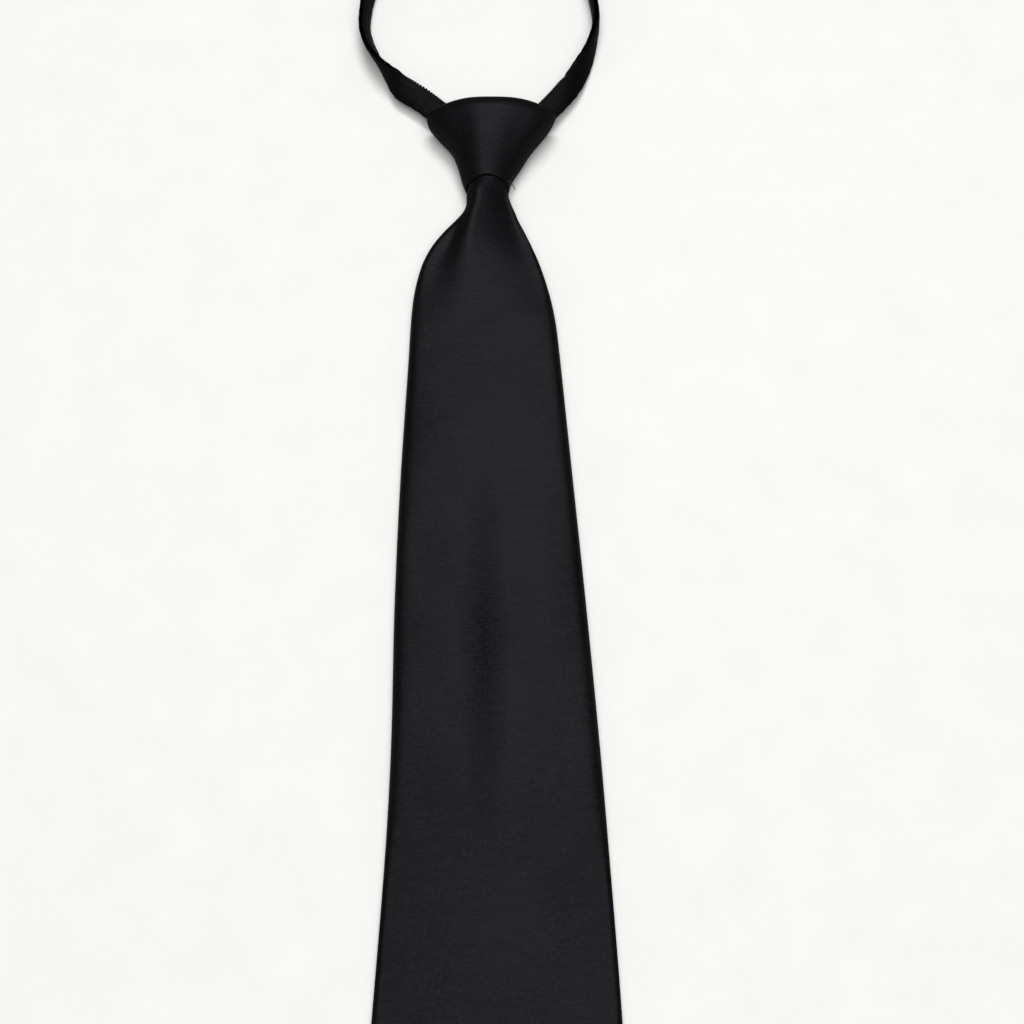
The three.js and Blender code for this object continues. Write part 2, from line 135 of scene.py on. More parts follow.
# %% Faces of a grid
# Edges sharper than these angles, in degrees, are drawn as real edges.
tube_crease = 50
strip_crease = 45
bar_crease = 70


def finish_mesh(name, mesh, crease=tube_crease):
    piece = bpy.data.objects.new(name, mesh)
    bpy.context.scene.collection.objects.link(piece)
    mesh.shade_smooth()
    mesh.set_sharp_from_angle(angle=math.radians(crease))
    return piece


def grid_faces(rings, wide, around, first=0):
    faces = []
    for ring in range(rings - 1):
        for place in range(wide if around else wide - 1):
            after = (place + 1) % wide
            low = first + ring * wide
            high = low + wide
            faces.append((low + place, high + place, high + after, low + after))
    return faces


print("faces of 3 rings of 4 points:", len(grid_faces(3, 4, True)))

# %% [markdown]
# A tube closes around, and its ends close with quads between the points that face each other,
# the way a flat seam is pressed shut. The faces are then turned outwards, because a modifier
# that adds thickness or cuts needs to know which side is out. Modifiers are made part of the
# mesh at once, so later steps can measure the real cloth.

# %% Closed tubes
def pressed_end(ring, wide, turned, facing=0):
    """Quads between the points of a ring that face each other across it."""
    faces = []
    for place in range(wide // 2):
        corners = [place, place + 1, wide - place - 1 - facing, (wide - place - facing) % wide]
        corners = [ring * wide + corner for corner in dict.fromkeys(corners)]
        if len(corners) > 2:
            faces.append(tuple(reversed(corners)) if turned else tuple(corners))
    return faces


def tube(name, grid, crease=tube_crease, facing=0):
    """A closed body through a grid of rings."""
    rings, wide = grid.shape[:2]
    faces = grid_faces(rings, wide, True)
    faces += pressed_end(0, wide, False, facing) + pressed_end(rings - 1, wide, True, facing)
    mesh = bpy.data.meshes.new(name)
    mesh.from_pydata((grid.reshape(-1, 3) + np.array(hem)).tolist(), [], faces)
    turn_out(mesh)
    return finish_mesh(name, mesh, crease)


def turn_out(mesh):
    """Turns the faces of a closed mesh outwards."""
    shape = bmesh.new()
    shape.from_mesh(mesh)
    bmesh.ops.recalc_face_normals(shape, faces=shape.faces)
    if shape.calc_volume(signed=True) < 0:
        bmesh.ops.reverse_faces(shape, faces=shape.faces)
    shape.to_mesh(mesh)
    shape.free()


def applied(piece):
    """The piece with its modifiers made part of its mesh."""
    seen = piece.evaluated_get(bpy.context.evaluated_depsgraph_get())
    mesh = bpy.data.meshes.new_from_object(seen)
    piece.modifiers.clear()
    piece.data = mesh
    return piece


def triangles(piece):
    piece.data.calc_loop_triangles()
    return len(piece.data.loop_triangles)


print("an end of 8 points closes with", len(pressed_end(0, 8, False)), "faces")

# %% [markdown]
# The blade of a tie is one wide strip of satin, folded over its padding so that both long edges
# meet down the middle of the back. Its outline under the knot isn't a straight cone: the left
# side bulges into a shoulder, and the right one runs down in a long soft bend. The tables hold
# both sides as shares of the blade's own sizes.

# %% Outline of the blade
FLARE = {
    "down": [0, 0.035, 0.083, 0.124, 0.17, 0.216, 0.286, 0.367, 0.46, 0.567, 0.683, 0.822, 1],
    "left": [0, 0.055, 0.08, 0.083, 0.145, 0.275, 0.487, 0.698, 0.857, 0.963, 1.026, 1.058, 1.079],
    "right": [0, 0.045, 0.063, 0.106, 0.17, 0.226, 0.333, 0.455, 0.582, 0.698, 0.794, 0.868, 0.921],
}
SIDES = {
    "down": [0, 0.13, 0.25, 0.38, 0.47, 0.6, 0.8, 1],
    "left": [0, 0, -0.01, -0.032, -0.036, -0.027, -0.01, 0],
    "right": [0, 0.012, 0.023, 0.031, 0.032, 0.03, 0.012, 0],
}
edge_roll = 0.3 * MM


def blade_side(side, down):
    neck = blade_neck_width / 2
    full = blade_top_width / 2
    flare = mix(neck, full, read(FLARE, side, down / blade_flare))
    share = (down - blade_flare) / (shoulder - blade_flare)
    straight = mix(mix(neck, full, FLARE[side][-1]), blade_width / 2, np.minimum(share, 1))
    body = straight + blade_width * read(SIDES, side, share)
    body = body * np.clip((blade_length - down) / point_length, 0, 1)
    roll = edge_roll * smooth(0, blade_flare / 2, down) * (1 - smooth(shoulder, blade_length, down))
    return np.where(down < blade_flare, flare, body) + roll


shoulders = [round(float(blade_side(side, shoulder)), 4) for side in ("left", "right")]
print("shoulders", shoulders, "m from the middle")

# %% [markdown]
# Where the cloth is gathered into the knot it has folds, which fan out and die away down the
# blade. Each is a soft ridge or valley with a line that it follows, and here those lines are
# places measured across and down the front. A fold's section is a bell curve, so that folds
# simply add up, and cloth that is pulled tight over the zip's tail gives the long low hump.

# %% Folds of the blade
FOLDS = {
    "middle ridge": {
        "down": [0, 3, 17, 32, 60], "across": [-2.4, -3.7, -6.8, -9.0, -11],
        "wide": [3, 3, 3.5, 5.5, 9], "rise": [0.3, 0.8, 1.1, 0.6, 0],
    },
    "ridge's right side": {
        "down": [0, 6, 18, 30, 50], "across": [-1, -2, -3.6, -4.4, -5],
        "wide": [4.5, 5, 6.5, 8, 8], "rise": [0.2, 0.8, 1.1, 0.6, 0],
    },
    "left valley": {
        "down": [0, 8, 22, 34, 54], "across": [-5.6, -7.0, -12.2, -18.5, -25],
        "wide": [1.2, 1.8, 3.2, 6.5, 10], "rise": [0, -0.4, -0.8, -0.7, 0],
    },
    "left roll": {
        "down": [4, 12, 19, 26, 36], "across": [-9.2, -12.2, -16.6, -20.5, -24],
        "wide": [1.8, 2.8, 4.4, 5, 6], "rise": [0, 0.4, 0.7, 0.3, 0],
    },
    "right valley": {
        "down": [0, 6, 18, 30, 50], "across": [4.5, 8, 12.5, 16.5, 21],
        "wide": [4.5, 6.8, 9.2, 11.5, 13], "rise": [-0.5, -2.2, -2.7, -1.7, 0],
    },
    "long hollow": {
        "down": [96, 126, 160, 192, 225], "across": [-0.5, -1.5, -1.6, -2.4, -3],
        "wide": [3.5, 4.5, 6, 6, 5], "rise": [0, -0.15, -0.35, -0.2, 0],
    },
}


def blade_folds(x, down):
    height = np.zeros(np.broadcast(x, down).shape)
    for fold in FOLDS.values():
        at = down / MM
        gap = (x / MM - read(fold, "across", at)) / read(fold, "wide", at)
        height = height + read(fold, "rise", at) * MM * np.exp(-gap ** 2)
    return height * smooth(-blade_tuck / 2, blade_tuck / 2, down)


print("folds:", ", ".join(FOLDS))

# %% [markdown]
# Under its middle the blade lies on the zip's tail, and past the tail's tab it comes down on the
# surface. The front bridges the tail as one low flat crown, because the padding is stiff, while
# the back follows the tail and drops beside it. These functions give the height of what lies
# under the cloth, and from it the middle of the blade's thickness.

# %% What the blade lies on
tail_settle = 2 * slider_length
pull_end = tail_length + pull_length
drape_run = 44 * MM
neck_run = 0.75 * blade_flare
edge_drop_run = 0.7 * blade_flare
beside_tail = (0.8 * tail_width, 1.7 * tail_width)
crown_flat = 24


def tail_under(down):
    return (cloth_wall + clearance) * (1 - smooth(0, tail_settle, down))


def blade_under(down):
    settle = 1 - smooth(pull_end + drape_run / 4, pull_end + drape_run, down)
    return (tail_under(down) + teeth_height + clearance) * settle


def neckness(down):
    """1 where the knot holds the blade round, and 0 where it lies flat."""
    return 1 - smooth(0, neck_run, down)


def blade_middle(x, down, thickness, upper):
    """Middle of the blade's thickness, for the front's cloth or for the back's."""
    side = np.where(x < 0, blade_side("left", down), blade_side("right", down))
    front_share = np.clip(1 - np.abs(x / side) ** crown_flat, 0, 1)
    back_share = 1 - smooth(*beside_tail, np.abs(x))
    full = blade_under(down)
    at_edge = blade_under(0) * (1 - smooth(0, edge_drop_run, down))
    share = np.where(upper, front_share, back_share)
    return mix(np.minimum(at_edge, full), full, share) + thickness / 2


print("cloth over the tail's middle:", round(float(blade_under(tail_length / 2)), 5), "m up")

# %% [markdown]
# Padded satin never lies perfectly flat. A few long waves that cross at different slants make
# it uneven without a pattern that the eye could follow, and the bar of thread at the V pulls the
# two folded edges in. The last function adds it all up: the rounded folded edges, the padding,
# the folds and the unevenness, on the front or on the back.

# %% Height of the blade's cloth
WAVES = {
    "along": [61, 37, 23, 47],
    "across": [43, -29, 35, 90],
    "start": [0.4, 2.1, 4.4, 1.3],
    "height": [0.1, 0.07, 0.05, 0.06],
}
point_calm = 0.7
tack_down = blade_length - pocket_reach - 2.8 * MM
tack_width = 4.5 * MM
tack_reach = 2.6 * MM
tack_depth = 0.5 * MM
roundest = 0.45
fold_fade = 8
wave_fade = 4
ridge_on_back = 0.35


def unevenness(x, down):
    height = np.zeros(np.broadcast(x, down).shape)
    for along, across, start, rise in zip(*WAVES.values()):
        phase = 2 * math.pi * (down / (along * MM) + x / (across * MM)) + start
        height = height + rise * MM * np.sin(phase)
    calm = 1 - point_calm * smooth(shoulder, blade_length, down)
    return height * smooth(0, blade_flare, down) * calm


def tack_dent(x, down):
    middle = (blade_side("right", down) - blade_side("left", down)) / 2
    gap = ((down - tack_down) / tack_reach) ** 2 + ((x - middle) / tack_width) ** 2
    return tack_depth * np.exp(-gap)


def blade_height(x, down, upper):
    left = blade_side("left", down)
    right = blade_side("right", down)
    neck = neckness(down)
    outer = mix(blade_thickness, blade_neck_thickness, neck)
    half = np.minimum(outer / 2, (left + right) * roundest)
    room = np.minimum(np.minimum(x + left, right - x), half) / half
    folded = np.sqrt(np.clip(1 - (1 - room) ** 2, 0, 1))
    share = np.clip(x / np.where(x < 0, left, right), -1, 1)
    oval = np.sqrt(np.clip(1 - share ** 2, 0, 1))
    round_ = mix(folded, oval, neck)
    middle = blade_middle(x, down, outer, upper)
    fold = blade_folds(x, down) * (1 - share ** fold_fade)
    pad = blade_pad * (1 - share ** 2) * (1 - neck)
    waves = unevenness(x, down) * (1 - share ** wave_fade)
    front = middle + half * round_ + pad + fold + waves
    back = middle - half * round_ + np.maximum(fold * ridge_on_back, 0) + tack_dent(x, down)
    return np.where(upper, front, back)


crown_top = blade_height(np.zeros(1), np.full(1, tail_length), True)[0]
print("front over the tab:", round(float(crown_top), 5), "m up")

# %% [markdown]
# The blade's grid starts at one edge of the back seam, goes round the left fold, over the front,
# round the right fold and back to the other edge of the seam. So the sheet stays open down the
# back, as the real one is, and near the point the two edges part in a V. A Solidify modifier
# then gives the cloth its thickness towards the inside, and the hollow stays a real hollow.

# %% Blade
neck_step = 1.1 * MM
body_step = 2.9 * MM
point_lead = 1.5 * MM
point_rings = 30
edge_crowding = 1.25
tip_reach = 0.6 * MM
thin_run = 9 * MM
thinnest = 0.25
blade_wall = 0.8 * cloth_wall
blade_crease = 60


def blade_stations():
    """Where the rings are, closer together where the shape changes fast."""
    point_start = shoulder - point_lead
    neck = np.arange(-blade_tuck, blade_flare, neck_step)
    body = np.arange(blade_flare, point_start, body_step)
    point = np.linspace(point_start, blade_length - point_blunt, point_rings)
    return np.concatenate([neck, body, point])


def opening_half(down):
    """Half the gap between the two edges on the back."""
    share = np.clip((down - (blade_length - pocket_reach)) / pocket_reach, 0, 1)
    room = (blade_side("left", down) + blade_side("right", down)) / 2 - folded_edge
    return np.maximum(np.minimum(pocket_reach * pocket_slope * share, room), seam_gap / 2)


def blade_grid(back_steps=16, front_steps=84):
    down = blade_stations()[:, None]
    left = blade_side("left", down)
    right = blade_side("right", down)
    seam = (right - left) / 2
    gap = opening_half(down)
    turn = np.sin(np.linspace(0, math.pi / 2, back_steps, endpoint=False))[None, :]
    swing = -np.cos(np.linspace(0, math.pi, front_steps))[None, :]
    bow = np.sign(swing) * (1 - (1 - np.abs(swing)) ** edge_crowding)
    back_left = mix(seam - gap, -left, turn)
    front = mix(-left, right, (bow + 1) / 2)
    back_right = mix(seam + gap, right, turn)[:, ::-1]
    x = np.concatenate([back_left, front, back_right], axis=1)
    upper = np.concatenate([turn < 0, swing > -2, turn < 0], axis=1)
    y = -down + np.zeros_like(x)
    return np.stack([x, y, blade_height(x, down, upper)], axis=2)


def make_blade():
    grid = blade_grid()
    rings, wide = grid.shape[:2]
    mesh = bpy.data.meshes.new("blade_cloth")
    faces = grid_faces(rings, wide, False)
    tip = grid[-1].mean(axis=0) - np.array([0, tip_reach, 0])
    points = np.vstack([grid.reshape(-1, 3), tip[None, :]]) + np.array(hem)
    last = (rings - 1) * wide
    faces += [(last + i, rings * wide, last + i + 1) for i in range(wide - 1)]
    mesh.from_pydata(points.tolist(), [], faces)
    blade = finish_mesh("blade_cloth", mesh, blade_crease)
    thin = blade.vertex_groups.new(name="wall")
    for vertex in mesh.vertices:
        share = (vertex.co.y - blade_low.y) / thin_run
        thin.add([vertex.index], min(max(share, thinnest), 1), "REPLACE")
    wall = blade.modifiers.new("wall", "SOLIDIFY")
    wall.thickness = blade_wall
    wall.offset = -1
    wall.vertex_group = "wall"
    applied(blade)
    turn_out(blade.data)
    blade.data.set_sharp_from_angle(angle=math.radians(blade_crease))
    return blade


blade = make_blade()
print("blade:", triangles(blade), "triangles")

# %% [markdown]
# The knot is a wrapped shell of the same satin. Its section is a rounded triangle lying flat,
# widest at the top corners, with a raised face and a flatter back. The tables hold its width on
# either side and its thickness as shares of the whole, from the hem up to the top. What happens
# only on a part of the way up, such as the hem's arch, fades in or out over a stretch of it.

# %% Sizes of the knot
knot_height = 31.8 * MM
knot_width = 45 * MM
knot_hem_width = 16 * MM
knot_thickness = 19 * MM
knot_arch = 4.4 * MM
neck_under = cloth_wall + 2 * clearance + teeth_height
knot_hem_thickness = neck_under + blade_neck_thickness + clearance + cloth_wall
hem_close = 0.7 * MM
hem_arch = 1.8 * MM
hem_sink = 0.35 * MM
crown_rise = 0.6 * MM
seam_width = 0.7 * MM
seam_depth = 0.45 * MM
KNOT = {
    "up": [0, 0.11, 0.3, 0.52, 0.75, 0.9, 1],
    "left": [0.34, 0.395, 0.462, 0.575, 0.79, 0.925, 0.96],
    "right": [0.31, 0.35, 0.485, 0.645, 0.855, 0.995, 1.075],
    "thick": [0, 0.15, 0.4, 0.68, 0.93, 1, 0.97],
}
KNOT_FOLDS = {
    "at hem": [-0.72, 0.62],
    "at top": [-0.6, 0.78],
    "rise": [-0.03, -0.035],
    "wide": [0.3, 0.3],
}
KNOT_FADES = {
    "hem closes": (0, 0.3),
    "hem sinks": (0, 0.4),
    "hem arches": (0, 0.5),
    "left rounds": (0, 0.4),
    "right rounds": (0.2, 0.7),
    "folds": (-0.1, 0.6),
    "corners drop": (0.2, 1),
    "top rises": (0.4, 1),
}


def fade(form, up):
    return smooth(*KNOT_FADES[form], up)


print("knot", knot_width, "m wide and", knot_height, "m high")

# %% [markdown]
# Light on the face shows where its crown runs: slightly left of the middle, with a tight curve
# to the left and a slow one to the right. A power of the distance from the crown gives such a
# bulge, and a larger power makes it flatter on top. Two shallow valleys run up the face, and
# both ends of the knot are drawn as curves across it, because cloth under tension isn't cut
# straight.

# %% Forms of the knot's face
crown_low = -0.2
crown_high = -0.1
face_round_left = (1.7, 1.95)
face_round_right = (2.1, 2.9)
arch_round = 3.4


def knot_bulge(share, up):
    """How far out the face is: 1 on its crown and 0 at its two edges."""
    crown = mix(crown_low, crown_high, up)
    gone = np.abs(share - crown) / np.where(share < crown, 1 + crown, 1 - crown)
    left_round = mix(*face_round_left, fade("left rounds", up))
    right_round = mix(*face_round_right, fade("right rounds", up))
    face_round = np.where(share < crown, left_round, right_round)
    return np.clip(1 - gone ** face_round, 0, 1) ** (1 / face_round)


def knot_valleys(share, up):
    depth = np.zeros(np.broadcast(share, up).shape)
    for at_hem, at_top, rise, width in zip(*KNOT_FOLDS.values()):
        gap = (share - mix(at_hem, at_top, up)) / width
        depth = depth + rise * knot_thickness * np.exp(-gap ** 2)
    return depth * fade("folds", up)


def knot_along(share, up, upper, inset):
    """How far up the tie a point lies: its corners hang down, and its hem arches in front."""
    outer = np.abs(share) ** arch_round
    y = (knot_height - inset) * up - knot_arch * outer * fade("corners drop", up)
    y = y + hem_arch * np.where(upper, 1 - share ** 2, 0) * (1 - fade("hem arches", up))
    return y + crown_rise * (1 - outer) * fade("top rises", up)


print("bulge half way out to the right:", round(float(knot_bulge(0.5, 0.5)), 3))

# %% [markdown]
# The shell is drawn in one go: down its outside from the top to the hem, round the hem's rolled
# lip, and up again on the inside. So the hem is open and the knot is hollow, and the cloth has
# its real thickness everywhere without a modifier, which would crumple in the tight corners.

# %% Shell of the knot
back_round = 4
side_height = 0.45
roll_start = 0.75
ring_steps = 60
lip_steps = 7
top_gap = 0.9985


def knot_points(share, up, upper, inset):
    """Points of the knot's cloth: share goes across it and up from the hem to the top."""
    past = np.maximum((up - roll_start) / (1 - roll_start), 0)
    roll = np.sqrt(np.clip(1 - past ** 2, 0, 1))
    wide = np.where(share < 0, read(KNOT, "left", up), read(KNOT, "right", up))
    hem_share = np.where(share < 0, KNOT["left"][0], KNOT["right"][0])
    hem_wide = knot_hem_width / knot_width / hem_share
    closed = np.where(share < 0, 0, hem_close) * (1 - fade("hem closes", up))
    x = share * (knot_width / 2 * wide * mix(hem_wide, 1, up) - inset - closed)
    thick = mix(knot_hem_thickness, knot_thickness, read(KNOT, "thick", up))
    middle = thick * side_height
    sunk = hem_sink * (1 - fade("hem sinks", up))
    rise = thick - middle - inset - sunk + knot_valleys(share, up)
    face = middle + rise * roll * knot_bulge(share, up)
    flat = np.clip(1 - np.abs(share) ** back_round, 0, 1) ** (1 / back_round)
    seam = seam_depth * np.exp(-(x / seam_width) ** 2)
    back = middle - (middle - inset) * roll * flat + seam
    y = knot_along(share, up, upper, inset)
    return np.stack(np.broadcast_arrays(x, y, np.where(upper, face, back)), axis=-1)


def knot_rings(ups, inset):
    angle = np.linspace(0, math.pi, ring_steps, endpoint=False)
    share = np.concatenate([-np.cos(angle), np.cos(angle)])[None, :]
    upper = np.concatenate([angle >= 0, angle < 0])[None, :]
    return knot_points(share, ups[:, None], upper, inset)


def knot_grid():
    rise = np.sin(np.linspace(0, math.pi / 2, ring_steps)) * top_gap
    outside = knot_rings(rise[::-1], 0)
    inside = knot_rings(rise, cloth_wall)
    lip = []
    for turn in np.linspace(0, math.pi, lip_steps)[1:-1]:
        ring = mix(outside[-1], inside[0], (1 - math.cos(turn)) / 2)
        ring[:, 1] -= math.sin(turn) * cloth_wall / 2
        lip.append(ring)
    return np.concatenate([outside, np.array(lip), inside])


print("knot's shell:", knot_grid().shape[0], "rings")

# %% [markdown]
# The neck loop is a flat band of folded satin with one half of the zip along its inner edge. It
# leaves the slider lying flat, comes out of the knot's upper corners and twists until it stands
# on its edge, which is why it looks thin further up. Its middle line is a smooth curve through
# a few places. The twist and the width are read from the same rows.

# %% Route of the neck loop
band_thickness = 2.6 * MM
band_width = 7.2 * MM
tooth_length = 1.6 * MM
tooth_pitch = 1.6 * MM
open_teeth_length = 44 * MM
tape_width = tail_width / 2
loop_width = band_high.x - band_low.x
loop_front = 72 * MM
loop_back = band_high.y - hem.y - loop_front
loop_sway = -2.7 * MM
strip_width = band_width + clearance + tooth_length
strip_narrow = tape_width / strip_width
sway_start = 0.1
raise_back = 0.63
arc_rows = 13
arc_turn = 90
arc_lean = 14
arc_raise = 0.4 * MM
LEFT_ROUTE = {
    "across": [-0.21, -0.4, -0.532, -0.67, -0.76, -0.845, -0.925, -0.98],
    "up": [0.36, 0.448, 0.522, 0.588, 0.655, 0.73, 0.82, 0.91],
    "turn": [2, 6, 13, 34, 73, 100, 114, 112],
    "wide": [0.85, 0.97, 0.97, 0.98, 1, 1, 1, 1],
    "thick": [1, 1, 1, 1, 0.95, 1, 1, 1],
    "raise": [0, 0, 0.4, 1.3, 2.6, 2.2, 1.3, 0.6],
}
RIGHT_ROUTE = {
    "across": [0.23, 0.41, 0.53, 0.64, 0.745, 0.84, 0.92, 0.975],
    "up": [0.32, 0.388, 0.455, 0.522, 0.597, 0.69, 0.787, 0.895],
    "turn": [2, 5, 8, 18, 35, 54, 72, 84],
    "wide": [0.85, 0.94, 0.92, 0.91, 0.93, 0.98, 1, 1],
    "thick": [1, 1, 1, 1, 1, 1, 1, 1],
    "raise": [0, 0, 0.3, 0.7, 0.8, 0.5, 0.2, 0],
}
print("loop", round(loop_width, 4), "m wide, strip", round(strip_width, 4), "m wide")

# %% [markdown]
# The rows of the two sides and of the plain arc at the back make one list, from the left of the
# slider round to its right. The left side leans out and is lifted a little off the surface. A
# place that is lifted also moves back, so it stays where the photograph shows it.

# %% Rows of the route
def route_rows():
    """Places, twist and width of the band from the left of the slider round to its right."""
    half = (loop_width - band_thickness) / 2
    above = slider_place + slider_length + clearance
    rows = []
    for side, table in ((-1, LEFT_ROUTE), (1, RIGHT_ROUTE)):
        start = side * (tape_width + clearance) / 2
        inner = (0, strip_narrow, 1, 0)
        way = [(start, above, *inner), (start, above + slider_length / 3, *inner)]
        for across, up, *rest in zip(*table.values()):
            sway = loop_sway * smooth(sway_start, 1, abs(across))
            rest[-1] *= MM
            way.append((across * half + sway, up * loop_front - raise_back * rest[-1], *rest))
        rows.append(way)
    arc = []
    for angle in np.linspace(math.pi, 0, arc_rows):
        across = loop_sway + half * math.cos(angle)
        along = loop_front + (loop_back - band_thickness / 2) * math.sin(angle)
        left = max(-math.cos(angle), 0)
        arc.append((across, along, arc_turn + arc_lean * left, 1, 1, arc_raise * left ** 3))
    return np.array(rows[0] + arc + rows[1][::-1])


ROWS = route_rows()
print("route:", len(ROWS), "rows")

# %% [markdown]
# A curve through points can swing out between rows that lie close together. A centripetal
# curve doesn't, because it spaces its parameter by the root of the distance. Blender has no such
# curve type, so it is worked out here with a ladder of six mixes for each place.

# %% Smooth line through rows
def smooth_line(points, steps=24):
    """A centripetal curve through points, with its parameter counted in rows."""
    ends = 2 * points[[0, -1]] - points[[1, -2]]
    whole = np.vstack([ends[:1], points, ends[1:]])
    knots = np.concatenate([[0], np.cumsum(np.linalg.norm(np.diff(whole, axis=0), axis=1) ** 0.5)])
    line, rows = [], []
    for i in range(1, len(whole) - 2):
        t0, t1, t2, t3 = knots[i - 1:i + 3]
        p0, p1, p2, p3 = whole[i - 1:i + 3]
        for share in np.arange(steps) / steps:
            t = mix(t1, t2, share)
            a1 = mix(p0, p1, (t - t0) / (t1 - t0))
            a2 = mix(p1, p2, (t - t1) / (t2 - t1))
            a3 = mix(p2, p3, (t - t2) / (t3 - t2))
            b1 = mix(a1, a2, (t - t0) / (t2 - t0))
            b2 = mix(a2, a3, (t - t1) / (t3 - t1))
            line.append(mix(b1, b2, (t - t1) / (t2 - t1)))
            rows.append(i - 1 + share)
    line.append(points[-1])
    rows.append(len(points) - 1)
    return np.array(line), np.array(rows)


inner_height = cloth_wall + 2 * clearance + band_thickness / 2
lift = mix(inner_height, strip_width / 2, smooth(strip_narrow, 1, ROWS[:, 3]))
LINE, LINE_ROWS = smooth_line(np.column_stack([ROWS[:, :2], lift + ROWS[:, 5]]))
LINE_FAR = np.concatenate([[0], np.cumsum(np.linalg.norm(np.diff(LINE, axis=0), axis=1))])
loop_length = LINE_FAR[-1]
print("neck loop", round(loop_length, 4), "m of band")

# %% [markdown]
# At every place of the line the band needs to know its own directions: across the strip and out
# of its face. They start flat and are turned about the line by the twist of the rows.

# %% Directions of the band
look_ahead = 0.8 * MM


def band_frame(far):
    """Middle of the strip at distances along it, the ways across and out of its face, its sizes."""
    far = np.atleast_1d(far)
    at = np.stack([np.interp(far, LINE_FAR, LINE[:, k]) for k in range(3)], axis=1)
    ends = [far + look_ahead, far - look_ahead]
    ahead, behind = [
        np.stack([np.interp(end, LINE_FAR, LINE[:, k]) for k in range(3)], axis=1) for end in ends
    ]
    along = ahead - behind
    along /= np.linalg.norm(along, axis=1)[:, None]
    flat = np.stack([along[:, 1], -along[:, 0], np.zeros(len(along))], axis=1)
    flat /= np.linalg.norm(flat, axis=1)[:, None]
    row = np.interp(far, LINE_FAR, LINE_ROWS)
    twist = np.radians(np.interp(row, range(len(ROWS)), ROWS[:, 2]))[:, None]
    strip = strip_width * np.interp(row, range(len(ROWS)), ROWS[:, 3])[:, None]
    thick = band_thickness * np.interp(row, range(len(ROWS)), ROWS[:, 4])[:, None]
    up = np.array([[0, 0, 1.0]])
    across = flat * np.cos(twist) + up * np.sin(twist)
    out = up * np.cos(twist) - flat * np.sin(twist)
    return at, across, out, strip, thick


print("strip at the slider:", round(float(band_frame(0)[3][0, 0]), 4), "m wide")

# %% [markdown]
# The band is a strip of satin folded into a flat tube. Its section is a rounded rectangle, made
# from a circle by drawing its corners out, which is called a superellipse. A shallow groove
# beside each edge is where the layers are sewn together, and the face puffs up a little between
# the stitches. The same tube, a little wider, later cuts the way through the knot.

# %% Neck band
def superellipse(count, power, slot=None):
    """A rounded rectangle as shares of its half sizes, open by a slot's angle where it is given."""
    if slot is None:
        angle = np.linspace(math.pi, -math.pi, count, endpoint=False)
    else:
        angle = np.linspace(slot, 2 * math.pi - slot, count)
    across = np.sign(np.cos(angle)) * np.abs(np.cos(angle)) ** (2 / power)
    out = np.sign(np.sin(angle)) * np.abs(np.sin(angle)) ** (2 / power)
    return across, out


stitch_groove = 0.16 * MM
stitch_inset = 1.1 * MM
stitch_spread = 0.35 * MM
band_wall = 0.45 * MM
band_slot = math.radians(17)
band_corners = 3.2
band_rings = 460
pucker_pitch = 4.1 * MM
pucker_share = 0.016
weaker_beat = 0.6
weaker_turn = 4.3
teeth_bare = 0.45 * MM


def strip_grid(far, left_out, room, count=36, wall=0.0, slot=None):
    """Rings of a band that leaves part of the strip's inner edge free."""
    at, across, out, strip, thick = band_frame(far)
    flat, over = superellipse(count, band_corners, slot)
    half = (strip - left_out) / 2 + room - wall
    gap = (np.abs(flat) * half - half + stitch_inset) / stitch_spread
    groove = stitch_groove * np.exp(-gap ** 2)
    height = over * (thick / 2 + room - wall - groove)
    place = flat * half - left_out / 2
    return at[:, None] + across[:, None] * place[..., None] + out[:, None] * height[..., None]


def make_band():
    """The satin of the band, folded over the tape's edge and puckered a little by its seam."""
    far = np.linspace(0, loop_length, band_rings)
    outside = strip_grid(far, teeth_bare, 0, slot=band_slot)
    middle = outside.mean(axis=1, keepdims=True)
    beat = np.sin(far / pucker_pitch * 2 * math.pi)
    beat = beat + weaker_beat * np.sin(far / pucker_pitch * weaker_turn + 1)
    outside = middle + (outside - middle) * (1 + pucker_share * beat)[:, None, None]
    outside[..., 2] = np.maximum(outside[..., 2], 0)
    inside = strip_grid(far, teeth_bare, 0, wall=band_wall, slot=band_slot)
    section = np.concatenate([outside, inside[:, ::-1]], axis=1)
    return tube("neck_band_satin", section, strip_crease, facing=1)


def cloth_area(piece):
    """Area of one face of a piece of cloth: half of its whole surface."""
    return sum(face.area for face in piece.data.polygons) / 2


band = make_band()
print("band:", triangles(band), "triangles, cloth", round(cloth_area(band), 5), "m2")

# %% [markdown]
# Both sides of the neck loop run from the knot's upper corners down to the slider inside it, and
# the closed zip leaves through a notch in the knot's back. A Boolean modifier set to Difference
# cuts these ways out of the shell with a little clearance, so no cloth runs through other cloth.

# %% Knot with the ways through it
def cut(piece, cutter):
    step = piece.modifiers.new("cut", "BOOLEAN")
    step.operation = "DIFFERENCE"
    step.solver = "EXACT"
    step.object = cutter
    applied(piece)
    bpy.data.objects.remove(cutter)


def make_block(name, low, high):
    mesh = bpy.data.meshes.new(name)
    shape = bmesh.new()
    bmesh.ops.create_cube(shape, size=1)
    for vertex in shape.verts:
        share = vertex.co + Vector((0.5, 0.5, 0.5))
        vertex.co = hem + Vector([mix(low[k], high[k], share[k]) for k in range(3)])
    shape.to_mesh(mesh)
    shape.free()
    return finish_mesh(name, mesh)


# Shares of the loop's length between which each side's way runs.
WAYS = [(0.02, 0.13), (0.87, 0.98)]
way_rings = 24
notch_reach = 2 * MM


